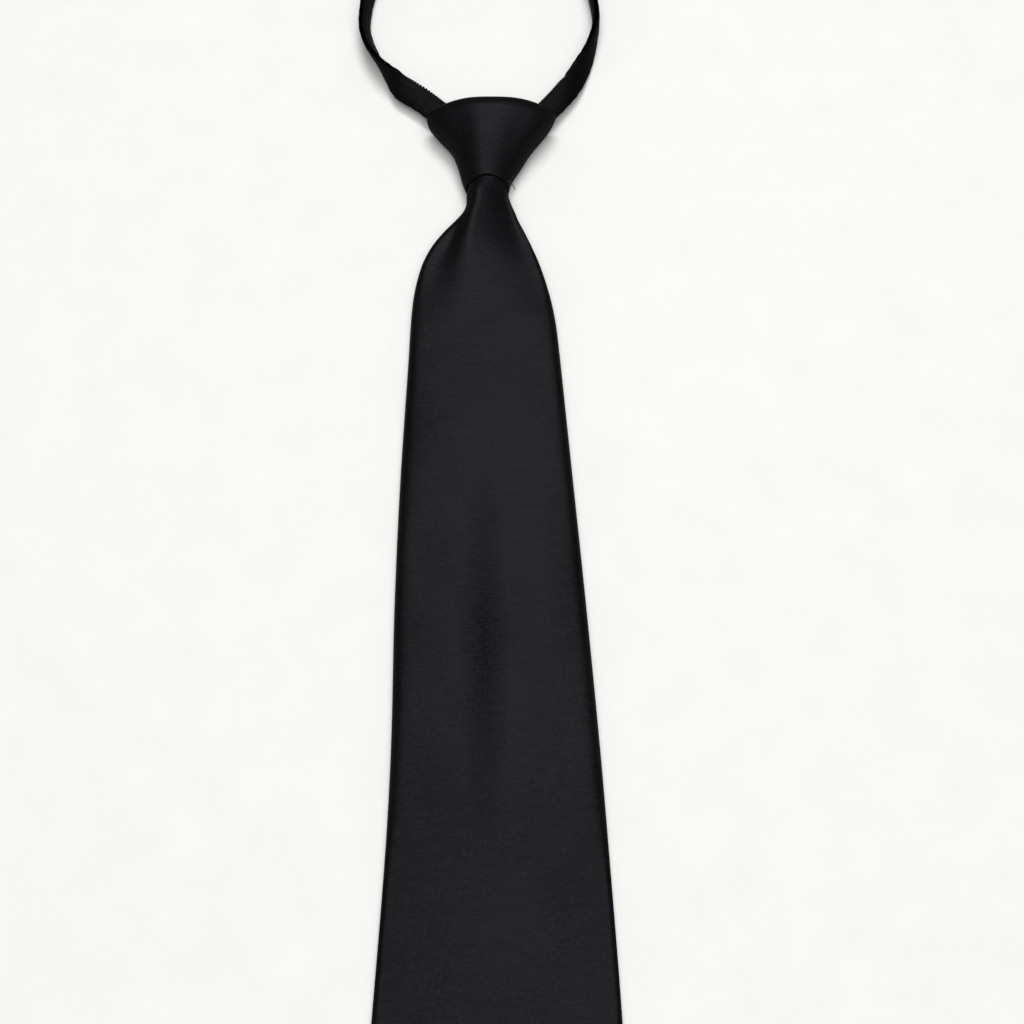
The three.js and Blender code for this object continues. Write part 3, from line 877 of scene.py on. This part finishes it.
def make_knot():
    knot = tube("knot_cloth", knot_grid())
    for first, last in WAYS:
        far = np.linspace(first, last, way_rings) * loop_length
        cut(knot, tube("way", strip_grid(far, 0, clearance, count=20)))
    notch = tail_width / 2 + 2 * clearance
    low = (-notch, -notch_reach, -notch_reach)
    cut(knot, make_block("notch", low, (notch, slider_place + clearance, neck_under)))
    knot.data.shade_smooth()
    knot.data.set_sharp_from_angle(angle=math.radians(tube_crease))
    return knot


knot = make_knot()
print("knot:", triangles(knot), "triangles, cloth", round(cloth_area(knot), 5), "m2")

# %% [markdown]
# A nylon zip has no separate metal teeth: each one is a turn of a stiff coil. Seen close up
# they are small rounded bars on the tape's edge. On the open halves the satin covers nearly all
# of the coil, and only the ends of its turns look out. One bar is a squashed ball, and the rows
# are many copies of it joined into one mesh, which keeps the scene quick.

# %% Small rounded bars
bar_round = 0.65


def bars(name, places, ways, lengths, count=(8, 6)):
    """Many rounded bars in one mesh. ways holds for each bar its three directions."""
    around = np.linspace(0, 2 * math.pi, count[0], endpoint=False)
    over = np.linspace(0, math.pi, count[1] + 1)[1:-1]
    unit = [(0, 0, 1.0)]
    for tilt in over:
        rim = math.sin(tilt)
        unit += [(rim * math.cos(a), rim * math.sin(a), math.cos(tilt)) for a in around]
    unit.append((0, 0, -1.0))
    unit = np.array(unit)
    unit = np.sign(unit) * np.abs(unit) ** bar_round
    wide = count[0]
    bottom = 1 + len(over) * wide
    faces = [(0, 1 + i, 1 + (i + 1) % wide) for i in range(wide)]
    faces += [tuple(reversed(face)) for face in grid_faces(len(over), wide, True, 1)]
    faces += [(bottom, bottom - wide + (i + 1) % wide, bottom - wide + i) for i in range(wide)]
    points, every = [], []
    for place, way, length in zip(places, ways, lengths):
        first = len(points) * len(unit)
        points.append(place + (unit * np.array(length) / 2) @ np.array(way))
        every += [tuple(first + corner for corner in face) for face in faces]
    mesh = bpy.data.meshes.new(name)
    mesh.from_pydata((np.vstack(points) + np.array(hem)).tolist(), [], every)
    turn_out(mesh)
    return finish_mesh(name, mesh, bar_crease)


def joined(first, *others):
    """One piece from several, under the first one's name."""
    shape = bmesh.new()
    for piece in (first, *others):
        shape.from_mesh(piece.data)
    shape.to_mesh(first.data)
    shape.free()
    for piece in others:
        bpy.data.objects.remove(piece)
    return first


print("bars rounded by a power of", bar_round)

# %% [markdown]
# Each open half of the zip is a row of such bars on the edge of a tape, which the band's two
# folded edges hold between them. The teeth follow the band's own directions, so they twist with
# it, and at the end of the open stretch they fade out under the satin.

# %% Open teeth
open_tape = 0.7 * MM
tape_seat = 1.2 * MM
tape_reach = 0.55
tape_rings = 120
open_tape_corners = 4
teeth_fade = 9 * MM
teeth_hidden = 0.85
coil_pitch = 1.05 * MM
coil_bar = 0.9 * coil_pitch
coil_height = 0.62 * teeth_height


def teeth_out(gone):
    """Share of a tooth that shows at a distance from the slider."""
    fade_start = open_teeth_length - teeth_fade
    return 1 - smooth(fade_start, open_teeth_length, gone) * teeth_hidden


def make_open_teeth(name, from_left):
    """The coil of one half of the open zip on its tape, which the band's two edges hold."""
    count = round(open_teeth_length / coil_pitch)
    gone = (np.arange(count) + 0.5) * coil_pitch + clearance
    far = gone if from_left else loop_length - gone
    at, across, out, strip, thick = band_frame(far)
    along = np.cross(across, out)
    bare = teeth_out(gone)
    lengths = tooth_length * bare
    edge = strip[:, 0] / 2 - tooth_length * (1 - bare)
    places = at + across * (edge - lengths / 2)[:, None]
    ways = np.stack([across, along, out], axis=1)
    sizes = [(length, coil_bar, coil_height) for length in lengths]
    teeth = bars(name, places, ways, sizes)
    gone = np.linspace(clearance, open_teeth_length, tape_rings)
    line = gone if from_left else loop_length - gone
    at, across, out, strip, thick = band_frame(line)
    bare = teeth_out(gone)[:, None]
    flat, over = superellipse(14, open_tape_corners)
    near = strip / 2 - tooth_length - tape_seat
    edge = strip / 2 - tooth_length * (1 - bare * tape_reach)
    place = (near + edge) / 2 + flat * (edge - near) / 2
    ring = across[:, None] * place[..., None] + out[:, None] * (over * open_tape / 2)[None, :, None]
    tape = tube(name + "_tape", at[:, None] + ring)
    return joined(teeth, tape)


teeth_left = make_open_teeth("teeth_left", True)
teeth_right = make_open_teeth("teeth_right", False)
print("open teeth:", triangles(teeth_left), "triangles each")

# %% [markdown]
# Behind the blade the two halves of the zip are closed. They are two woven tapes side by side,
# with the teeth of both gripping each other in a ridge down the middle. The tapes meet in a
# fine groove, which shows on the back too.

# %% Closed zip
tape_thickness = 1.2 * MM
tape_groove = 0.25 * MM
tape_groove_half = 0.5 * MM
closed_rings = 150
tape_corners = 5
teeth_width = 4.2 * MM
teeth_end = 2 * MM
teeth_stand = 0.42
teeth_offset = 0.14 * teeth_width
closed_bar = (0.72 * teeth_width, 0.42 * tooth_pitch, 1.15 * (teeth_height - tape_thickness))


def make_tapes():
    down = np.linspace(-slider_place + clearance, tail_length - clearance, closed_rings)
    wide, thick = superellipse(28, tape_corners)
    x = wide * tail_width / 2
    groove = tape_groove * np.exp(-(x / tape_groove_half) ** 2) * np.sign(thick)
    z = tape_thickness / 2 * (1 + thick) - groove
    grid = np.empty((len(down), len(x), 3))
    grid[..., 0] = x[None, :]
    grid[..., 1] = -down[:, None]
    grid[..., 2] = z[None, :] + tail_under(down)[:, None]
    return tube("zip_tapes", grid, strip_crease)


def make_closed_teeth():
    """Teeth that take turns from the left tape and from the right one."""
    down = np.arange(-slider_place + teeth_end, tail_length - teeth_end, tooth_pitch / 2)
    side = np.where(np.arange(len(down)) % 2, 1, -1)
    height = tail_under(down) + mix(tape_thickness, teeth_height, teeth_stand)
    places = np.stack([side * teeth_offset, -down, height], axis=1)
    ways = [np.eye(3)] * len(down)
    return bars("closed_teeth", places, ways, [closed_bar] * len(down))


tapes = make_tapes()
closed_teeth = make_closed_teeth()
print("closed zip:", triangles(tapes) + triangles(closed_teeth), "triangles")
print("tapes", round(cloth_area(tapes), 5), "m2")

# %% [markdown]
# The tab is satin folded round the end of the zip and sewn along its edge, so it is thinner at
# its rim and has a groove where the stitches run. It is drawn like the knot, outside first and
# then inside, and stays open where the tapes go in.

# %% Tab
pull_thickness = 2 * MM
pull_wall = 0.55 * MM
pull_stitch = 1.5 * MM
pull_rim = 3 * MM
pull_rim_share = 0.85
pull_corners = 4
pull_rows = 60
pull_point_rows = 16


def pull_rings(inset):
    point = pull_length - tail_width / 2
    blunt = pull_length - point_blunt - inset
    straight = np.linspace(0, point, pull_rows)
    down = np.concatenate([straight, np.linspace(point, blunt, pull_point_rows)[1:]])
    half = np.minimum(tail_width / 2, pull_length - down)[:, None] - inset
    flat, over = superellipse(40, pull_corners)
    x = flat[None, :] * half
    rim = half - np.abs(x)
    groove = stitch_groove * np.exp(-((rim - pull_stitch) / stitch_spread) ** 2)
    thickness = pull_thickness * mix(pull_rim_share, 1, smooth(0, pull_rim, rim)) - 2 * inset
    z = pull_thickness / 2 + over[None, :] * (thickness / 2 - groove)
    return np.stack(np.broadcast_arrays(x, -tail_length - down[:, None], z), axis=2)


def make_pull():
    outside = pull_rings(0)
    inside = pull_rings(pull_wall)
    return tube("pull_tab", np.concatenate([outside[::-1], inside]), strip_crease)


pull = make_pull()
print("tab:", triangles(pull), "triangles, cloth", round(cloth_area(pull), 5), "m2")

# %% [markdown]
# The slider sits where the two halves close. It is hidden in the knot, so a simple body does:
# two plates joined by a narrow bridge, with rounded edges from a Bevel modifier.

# %% Slider
plate_share = 0.42
bridge_half = 1.2 * MM
bridge_ends = (0.2, 0.9)
bridge_height = 0.7
slider_bevel = 0.18 * MM


def make_slider():
    middle = (slider_low + slider_high) / 2 - hem
    half = (slider_high - slider_low) / 2
    plate = half.z * plate_share
    slabs = []
    for side in (-1, 1):
        flat = middle.z + side * (half.z - plate / 2)
        low = (middle.x - half.x, middle.y - half.y, flat - plate / 2)
        high = (middle.x + half.x, middle.y + half.y, flat + plate / 2)
        slabs.append(make_block(f"slab_{side + 1}", low, high))
    near, far = bridge_ends
    tall = half.z * bridge_height
    low = (middle.x - bridge_half, middle.y + half.y * near, middle.z - tall)
    high = (middle.x + bridge_half, middle.y + half.y * far, middle.z + tall)
    slabs.append(make_block("bridge", low, high))
    slider = joined(*slabs)
    slider.name = "slider_body"
    soft = slider.modifiers.new("soft", "BEVEL")
    soft.width = slider_bevel
    soft.segments = 2
    applied(slider)
    slider.data.shade_smooth()
    return slider


slider = make_slider()
print("slider:", triangles(slider), "triangles")

# %% [markdown]
# Small signs of sewing tell that a tie is real. The blade's back seam is caught with a bar of
# thread where the V begins: a few turns of thread side by side, a little uneven at their ends.
# A thread is a thin tube along a few places, and it gets thinner at both ends.

# %% Threads and the bar tack
# A thread starts this thin, and is full after one of so many equal parts of its length.
thinned = 0.3
taper_parts = 6
# The places of the tack's threads, in millimetres.
tack_lead = 0.8
tack_rows = 6
tack_pitch = 0.32
tack_half = 4.2
tack_uneven = 0.3
tack_line = [0.4, 0.2, 0.2, 0.4]
tack_thread = 0.34 * MM


def thread(name, places, thickness):
    """A thin round thread through places that are given in millimetres."""
    line, _ = smooth_line(np.array(places, float) * MM, steps=6)
    along = np.gradient(line, axis=0)
    along /= np.linalg.norm(along, axis=1)[:, None]
    side = np.cross(along, np.array([0, 0, 1.0]))
    side /= np.linalg.norm(side, axis=1)[:, None]
    over = np.cross(side, along)
    wide, thick = superellipse(8, 2)
    ring = side[:, None] * wide[None, :, None] + over[:, None] * thick[None, :, None]
    in_from_start = np.clip(np.linspace(0, taper_parts, len(line)), thinned, 1)
    in_from_end = np.clip(np.linspace(taper_parts, 0, len(line)), thinned, 1)
    radius = thickness / 2 * in_from_start * in_from_end
    return tube(name, line[:, None] + ring * radius[:, None, None])


def make_bar_tack():
    down = tack_down / MM - tack_lead
    middle = float(blade_side("right", down * MM) - blade_side("left", down * MM)) / 2 / MM
    rows = []
    for step in range(tack_rows):
        ends = tack_half - tack_uneven * (step % 2)
        xs = middle + ends * np.array([-1, -0.5, 0.5, 1])
        places = [(x, -down - step * tack_pitch, z) for x, z in zip(xs, tack_line)]
        rows.append(thread(f"tack_{step}", places, tack_thread))
    tack = joined(*rows)
    tack.name = "bar_tack"
    return tack


print("bar tack", round(tack_down, 4), "m down the blade")

# %% [markdown]
# The knot's cloth is closed down the middle of its back by hand, with short slanting stitches.
# They are bars like the teeth, each turned by the same lean. The loose end of thread at the hem is
# given as a few points, with a small bend in it.

# %% Stitches of the knot and its loose thread
stitch_lean = math.radians(24)
stitch_pitch = 2.4 * MM
stitch_bar = (2 * MM, 0.4 * MM, 0.36 * MM)
stitch_height = 0.3 * MM
stitch_start = 2.6 * MM
stitch_end = 0.72
spur_thread = 0.3 * MM
SPUR = [(6.4, 1.2, 8.6), (7.4, 0.3, 8.3), (8.7, -0.9, 7.6), (9.4, -2.2, 6.9)]


def make_seam_stitches():
    up = np.arange(slider_place + stitch_start, knot_height * stitch_end, stitch_pitch)
    x, y = math.cos(stitch_lean), math.sin(stitch_lean)
    way = [[x, y, 0], [-y, x, 0], [0, 0, 1]]
    places = np.stack([up * 0, up, up * 0 + stitch_height], axis=1)
    return bars("seam_stitches", places, [way] * len(up), [stitch_bar] * len(up))


bar_tack = make_bar_tack()
seam_stitches = make_seam_stitches()
spur = thread("loose_thread", SPUR, spur_thread)
print("threads:", triangles(bar_tack) + triangles(spur), "triangles")

# %% [markdown]
# Shader maths reads best as a sum. This small class holds the number that a socket gives, and
# its operators add the Math nodes, so 1 - mask works as it looks.

# %% Materials as sums
class Signal:
    def __init__(self, look, socket):
        self.look = look
        self.socket = socket

    def maths(self, operation, first, second):
        return self.look.add("ShaderNodeMath", {"operation": operation}, {0: first, 1: second})

    def __add__(self, other):
        return self.maths("ADD", self, other)

    def __sub__(self, other):
        return self.maths("SUBTRACT", self, other)

    def __rsub__(self, other):
        return self.maths("SUBTRACT", other, self)

    def __mul__(self, other):
        return self.maths("MULTIPLY", self, other)

    __radd__ = __add__
    __rmul__ = __mul__


print("signals can be added, subtracted and multiplied")

# %% [markdown]
# A Look is one material. Its add method makes any node from a type, its settings and the values
# of its sockets, and gives back the signal that comes out. The other methods are the few nodes
# that every finish here needs: places on the piece, noise, a tint between two colours and bump.

# %% A material's nodes
class Look:
    def __init__(self, name, **fixed):
        self.material = bpy.data.materials.new(name)
        self.material.use_nodes = True
        self.tree = self.material.node_tree
        self.shader = self.tree.nodes["Principled BSDF"]
        for socket, value in fixed.items():
            self.shader.inputs[socket.replace("_", " ")].default_value = value

    def add(self, kind, settings=None, sockets=None, out=0):
        node = self.tree.nodes.new(kind)
        for name, value in (settings or {}).items():
            setattr(node, name, value)
        for name, value in (sockets or {}).items():
            self.plug(node.inputs[name], value)
        return Signal(self, node.outputs[out])

    def plug(self, socket, value):
        if isinstance(value, Signal):
            self.tree.links.new(value.socket, socket)
        else:
            socket.default_value = value

    def set(self, name, value):
        self.plug(self.shader.inputs[name], value)

    def place(self, stretch):
        """Places on the piece, in metres, stretched along each axis."""
        where = self.add("ShaderNodeTexCoord", out="Object")
        return self.add("ShaderNodeMapping", {}, {"Vector": where, "Scale": stretch})

    def noise(self, where, scale, detail=2.0):
        sockets = {"Vector": where, "Scale": scale, "Detail": detail}
        return self.add("ShaderNodeTexNoise", {}, sockets)

    def tint(self, share, dark, light):
        sockets = {"Factor": share, 6: (*dark, 1), 7: (*light, 1)}
        settings = {"data_type": "RGBA"}
        return self.add("ShaderNodeMix", settings, sockets, out=2)

    def bump(self, height, far, strength=1.0):
        sockets = {"Height": height, "Distance": far, "Strength": strength}
        self.set("Normal", self.add("ShaderNodeBump", {}, sockets))


print("a look can", ", ".join(way for way in vars(Look) if not way.startswith("_")))

# %% [markdown]
# Black satin isn't flat black. Its long floating threads shine much as metal does: the places
# that face the light shine softly in the colour of the cloth, and the slopes beside them go
# dark. So most of the shader is a dark metallic reflection that its roughness spreads wide. A
# fine grain across the tie, a few thicker threads and a slightly uneven dye come from noises
# and a very fine wave for the weave, which drive the colour, the roughness and a tiny bump.

# %% Satin's colours
SATIN = {"Metallic": 0.75, "Specular_IOR_Level": 0.1, "Specular_Tint": (0.22, 0.22, 0.23, 1)}
BLADE_TONES = [(0.003, 0.003, 0.0034), (0.0178, 0.0178, 0.0199)]
BAND_TONES = [(0.0024, 0.0024, 0.0027), (0.0108, 0.0108, 0.0114)]
grain_scale = 1300
slub_stretch = (140, 1300, 300)
cloud_scale = 24
weave_scale = 900
print("satin from", BLADE_TONES[0], "to", BLADE_TONES[1])

# %% [markdown]
# Long soft marks of painted shade darken the blade's colour: one along the long hollow down its
# middle, and two to either side of it. Each is a ball of shade that is stretched into an oval round
# its middle. The band has picked up a few specks of lint, which show where a fine noise is at its
# highest.

# %% Painted shade and lint
# Ovals of painted shade on the blade: where each lies, its half sizes and how much it darkens the
# tone.
SHADE_MARKS = {
    "x": [-1.6, -24, 25],
    "down": [165, 92, 138],
    "half wide": [8, 9, 9],
    "half long": [62, 36, 44],
    "depth": [0.364, 0.14, 0.14],
}
lint_scale = 420
lint_colour = (0.05, 0.05, 0.048, 1)


def painted_shade(look, tone, cloud):
    """The tone with the long soft marks of painted shade taken off it."""
    for x, down, wide, long, depth in zip(*SHADE_MARKS.values()):
        size = Vector((1 / wide, 1 / long, 0)) / MM
        middle = hem + Vector((x, -down, 0)) * MM
        shift = -Vector((middle.x * size.x, middle.y * size.y, 0))
        place = {
            "Vector": look.add("ShaderNodeTexCoord", out="Object"),
            "Scale": size,
            "Location": shift,
        }
        spot = {"Vector": look.add("ShaderNodeMapping", {}, place)}
        ball = look.add("ShaderNodeTexGradient", {"gradient_type": "SPHERICAL"}, spot, out=1)
        tone = tone - ball * (cloud * 0.6 + 0.7) * depth
    return tone


def dusted(look, colour, where):
    """The colour with specks of lint on it."""
    noise = look.noise(where, lint_scale, 1)
    dust = {"Value": noise, "From Min": 0.72, "From Max": 0.8, "To Max": 0.5}
    dust = look.add("ShaderNodeMapRange", {}, dust)
    sockets = {"Factor": dust, 6: colour, 7: lint_colour}
    return look.add("ShaderNodeMix", {"data_type": "RGBA"}, sockets, out=2)


print("pressed marks:", len(SHADE_MARKS["x"]))

# %% [markdown]
# Both satins come from one function. The blade and the knot share the brighter one, and the
# band and the tab are a little darker and rougher.

# %% Satin
def satin(name, tones, rough, marks=False, lint=False):
    look = Look(name, **SATIN)
    where = look.place((1, 1, 1))
    speckle = look.noise(where, grain_scale, 3)
    slubs = look.noise(look.place(slub_stretch), 1, 2)
    cloud = look.noise(where, cloud_scale, 3)
    weave = look.add(
        "ShaderNodeTexWave",
        {"wave_type": "BANDS", "bands_direction": "Y"},
        {"Vector": where, "Scale": weave_scale, "Distortion": 1.5, "Detail": 2},
    )
    tone = speckle * 0.9 + slubs * 0.3 + cloud * 0.4 - 0.3
    # On the blade the tone gets the marks of painted shade.
    tone = painted_shade(look, tone, cloud) if marks else tone
    colour = look.tint(tone, *tones)
    look.set("Base Color", dusted(look, colour, where) if lint else colour)
    look.set("Roughness", rough + (speckle - 0.5) * 0.14 + (cloud - 0.5) * 0.08)
    look.bump(speckle * 0.6 + weave * 0.15 + slubs * 0.4, 0.00008, 0.5)
    return look.material


# The blade's satin carries the marks of painted shade.
satin_black = satin("black satin", BLADE_TONES, 0.49, marks=True)
band_black = satin("band satin", BAND_TONES, 0.56, lint=True)
for material in (satin_black, band_black):
    print(material.name, "has", len(material.node_tree.nodes), "nodes")

# %% [markdown]
# The zip's tape is woven cotton and polyester, matt, with a coarse rib. The teeth are glossy
# nylon, the slider is enamelled metal, and the sewing thread is duller than the satin.

# %% Other finishes
def tape_look():
    look = Look("woven tape", Specular_IOR_Level=0.2)
    where = look.place((1, 1, 1))
    ribs = {"Vector": where, "Scale": 420, "Distortion": 0.4}
    rib = look.add("ShaderNodeTexWave", {"bands_direction": "Y"}, ribs)
    fuzz = look.noise(where, 1900, 3)
    tone = rib * 0.5 + fuzz * 0.5
    look.set("Base Color", look.tint(tone, (0.003, 0.003, 0.003), (0.012, 0.012, 0.0125)))
    look.set("Roughness", 0.75 + (fuzz - 0.5) * 0.3)
    look.bump(rib + fuzz * 0.5, 0.0002, 0.7)
    return look.material


def smooth_look(name, dark, light, rough, metal=0.0, gloss=0.2):
    look = Look(name, Metallic=metal, Specular_IOR_Level=gloss)
    where = look.place((1, 1, 1))
    mottle = look.noise(where, 420, 3)
    scuff = look.noise(look.place((2000, 300, 900)), 1, 2)
    look.set("Base Color", look.tint(mottle, dark, light))
    look.set("Roughness", rough + (scuff - 0.5) * 0.2)
    look.bump(scuff + mottle, 0.00004, 0.4)
    return look.material


tape_black = tape_look()
nylon = smooth_look("nylon coil", (0.004, 0.004, 0.004), (0.008, 0.008, 0.0085), 0.45)
enamel = smooth_look("black enamel", (0.02, 0.02, 0.021), (0.04, 0.04, 0.042), 0.36, metal=0.5)
sewing = smooth_look("sewing thread", (0.012, 0.012, 0.012), (0.03, 0.03, 0.031), 0.7)
for material in (tape_black, nylon, enamel, sewing):
    print(material.name, "has", len(material.node_tree.nodes), "nodes")

# %% [markdown]
# Every piece now gets its finish and rides on the one body of the tie, and the solid that it stands
# for, where there is one, is hidden.

# %% Dress the pieces
def dress(piece, material, slot, *nodes):
    piece.data.materials.clear()
    piece.data.materials.append(material)
    for face in piece.data.polygons:
        face.material_index = 0
    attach(piece, "root")
    if nodes:
        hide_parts(*nodes)
    return piece


pieces = [
    dress(blade, satin_black, "satin", "blade"),
    dress(knot, satin_black, "satin", "knot"),
    dress(band, band_black, "band_satin", "neck_band"),
    dress(teeth_left, nylon, "zip_teeth", "zip_teeth_left"),
    dress(teeth_right, nylon, "zip_teeth", "zip_teeth_right"),
    dress(slider, enamel, "slider", "zip_slider"),
    dress(tapes, tape_black, "zip_tape", "zip_tail"),
    dress(closed_teeth, nylon, "zip_teeth"),
    dress(pull, band_black, "band_satin", "tail_pull"),
    dress(bar_tack, sewing, "satin"),
    dress(seam_stitches, sewing, "satin"),
    dress(spur, sewing, "satin"),
]

print(len(pieces), "finished pieces, all on one body")

# %% [markdown]
# The tie lies on a plain pale surface, a little mottled so that it doesn't look like a hole in
# the picture. It is only the stage, so it is no part of the tie.

# %% Floor
floor_half = 1.5


def make_floor():
    mesh = bpy.data.meshes.new("floor")
    corners = [(-1, -1, 0), (1, -1, 0), (1, 1, 0), (-1, 1, 0)]
    corners = [Vector(corner) * floor_half for corner in corners]
    mesh.from_pydata(corners, [], [(0, 1, 2, 3)])
    floor = finish_mesh("floor", mesh)
    look = Look("pale surface", Roughness=0.9, Specular_IOR_Level=0.1)
    mottle = look.noise(look.place((1, 1, 1)), 60, 4)
    look.set("Base Color", look.tint(mottle, (0.84, 0.84, 0.82), (0.9, 0.9, 0.885)))
    mesh.materials.append(look.material)
    return floor


floor = make_floor()
print("floor", 2 * floor_half, "m wide")

# %% [markdown]
# The camera hangs above the tie, leaning back by the angle of the photograph, and its lens keeps
# the whole width of the blade in view. A lens is a focal length in pixels of the photograph, and
# Blender asks for it in millimetres on a sensor of a given width.

# %% Camera
sensor_width = 36
focal_pixels = 1400
photo_pixels = 1024
camera_from_hem = Vector((5.87, -277.76, 416.48)) * MM
camera_lean = math.radians(21)
camera_turn = math.radians(-0.485)


def make_camera():
    data = bpy.data.cameras.new("camera")
    data.sensor_width = sensor_width
    data.lens = sensor_width * focal_pixels / photo_pixels
    data.clip_start = 0.01
    camera = bpy.data.objects.new("camera", data)
    bpy.context.scene.collection.objects.link(camera)
    camera.location = hem + camera_from_hem
    camera.rotation_euler = (camera_lean, 0, camera_turn)
    bpy.context.scene.camera = camera
    return camera


print("camera", round((make_camera().location - hem).length, 3), "m from the knot's hem")

# %% [markdown]
# A wide softbox hangs over the blade, and a smaller lamp stands beyond the neck loop, so the
# knot's face and the blade's front both catch a soft reflection. The room itself gives little
# light, because satin looks flat when it shines from every side.

# %% Light and room
room_light = 0.17


def area_light(name, place, target, size, power):
    data = bpy.data.lights.new(name, "AREA")
    data.shape = "ELLIPSE"
    data.size, data.size_y = size
    data.energy = power
    light = bpy.data.objects.new(name, data)
    bpy.context.scene.collection.objects.link(light)
    light.location = place
    light.rotation_euler = (target - Vector(place)).to_track_quat("-Z", "Y").to_euler()
    return light


middle = hem + Vector((0, -0.12, 0))
area_light("softbox", (0.06, hem.y - 0.58, 1.7), middle, (1.9, 1.8), 22.5)
area_light("lamp", (0.06, hem.y + 0.7, 1.65), hem, (1.0, 0.4), 14.5)
world = bpy.data.worlds.new("soft room")
world.use_nodes = True
room = world.node_tree.nodes["Background"].inputs
room["Color"].default_value = (1, 1, 0.985, 1)
room["Strength"].default_value = room_light
bpy.context.scene.world = world
bpy.context.scene.view_settings.view_transform = "Standard"
print("lights:", ", ".join(light.name for light in bpy.data.lights))

# %% [markdown]
# At the end the scene is brought up to date.

# %% Finish
bpy.context.view_layer.update()
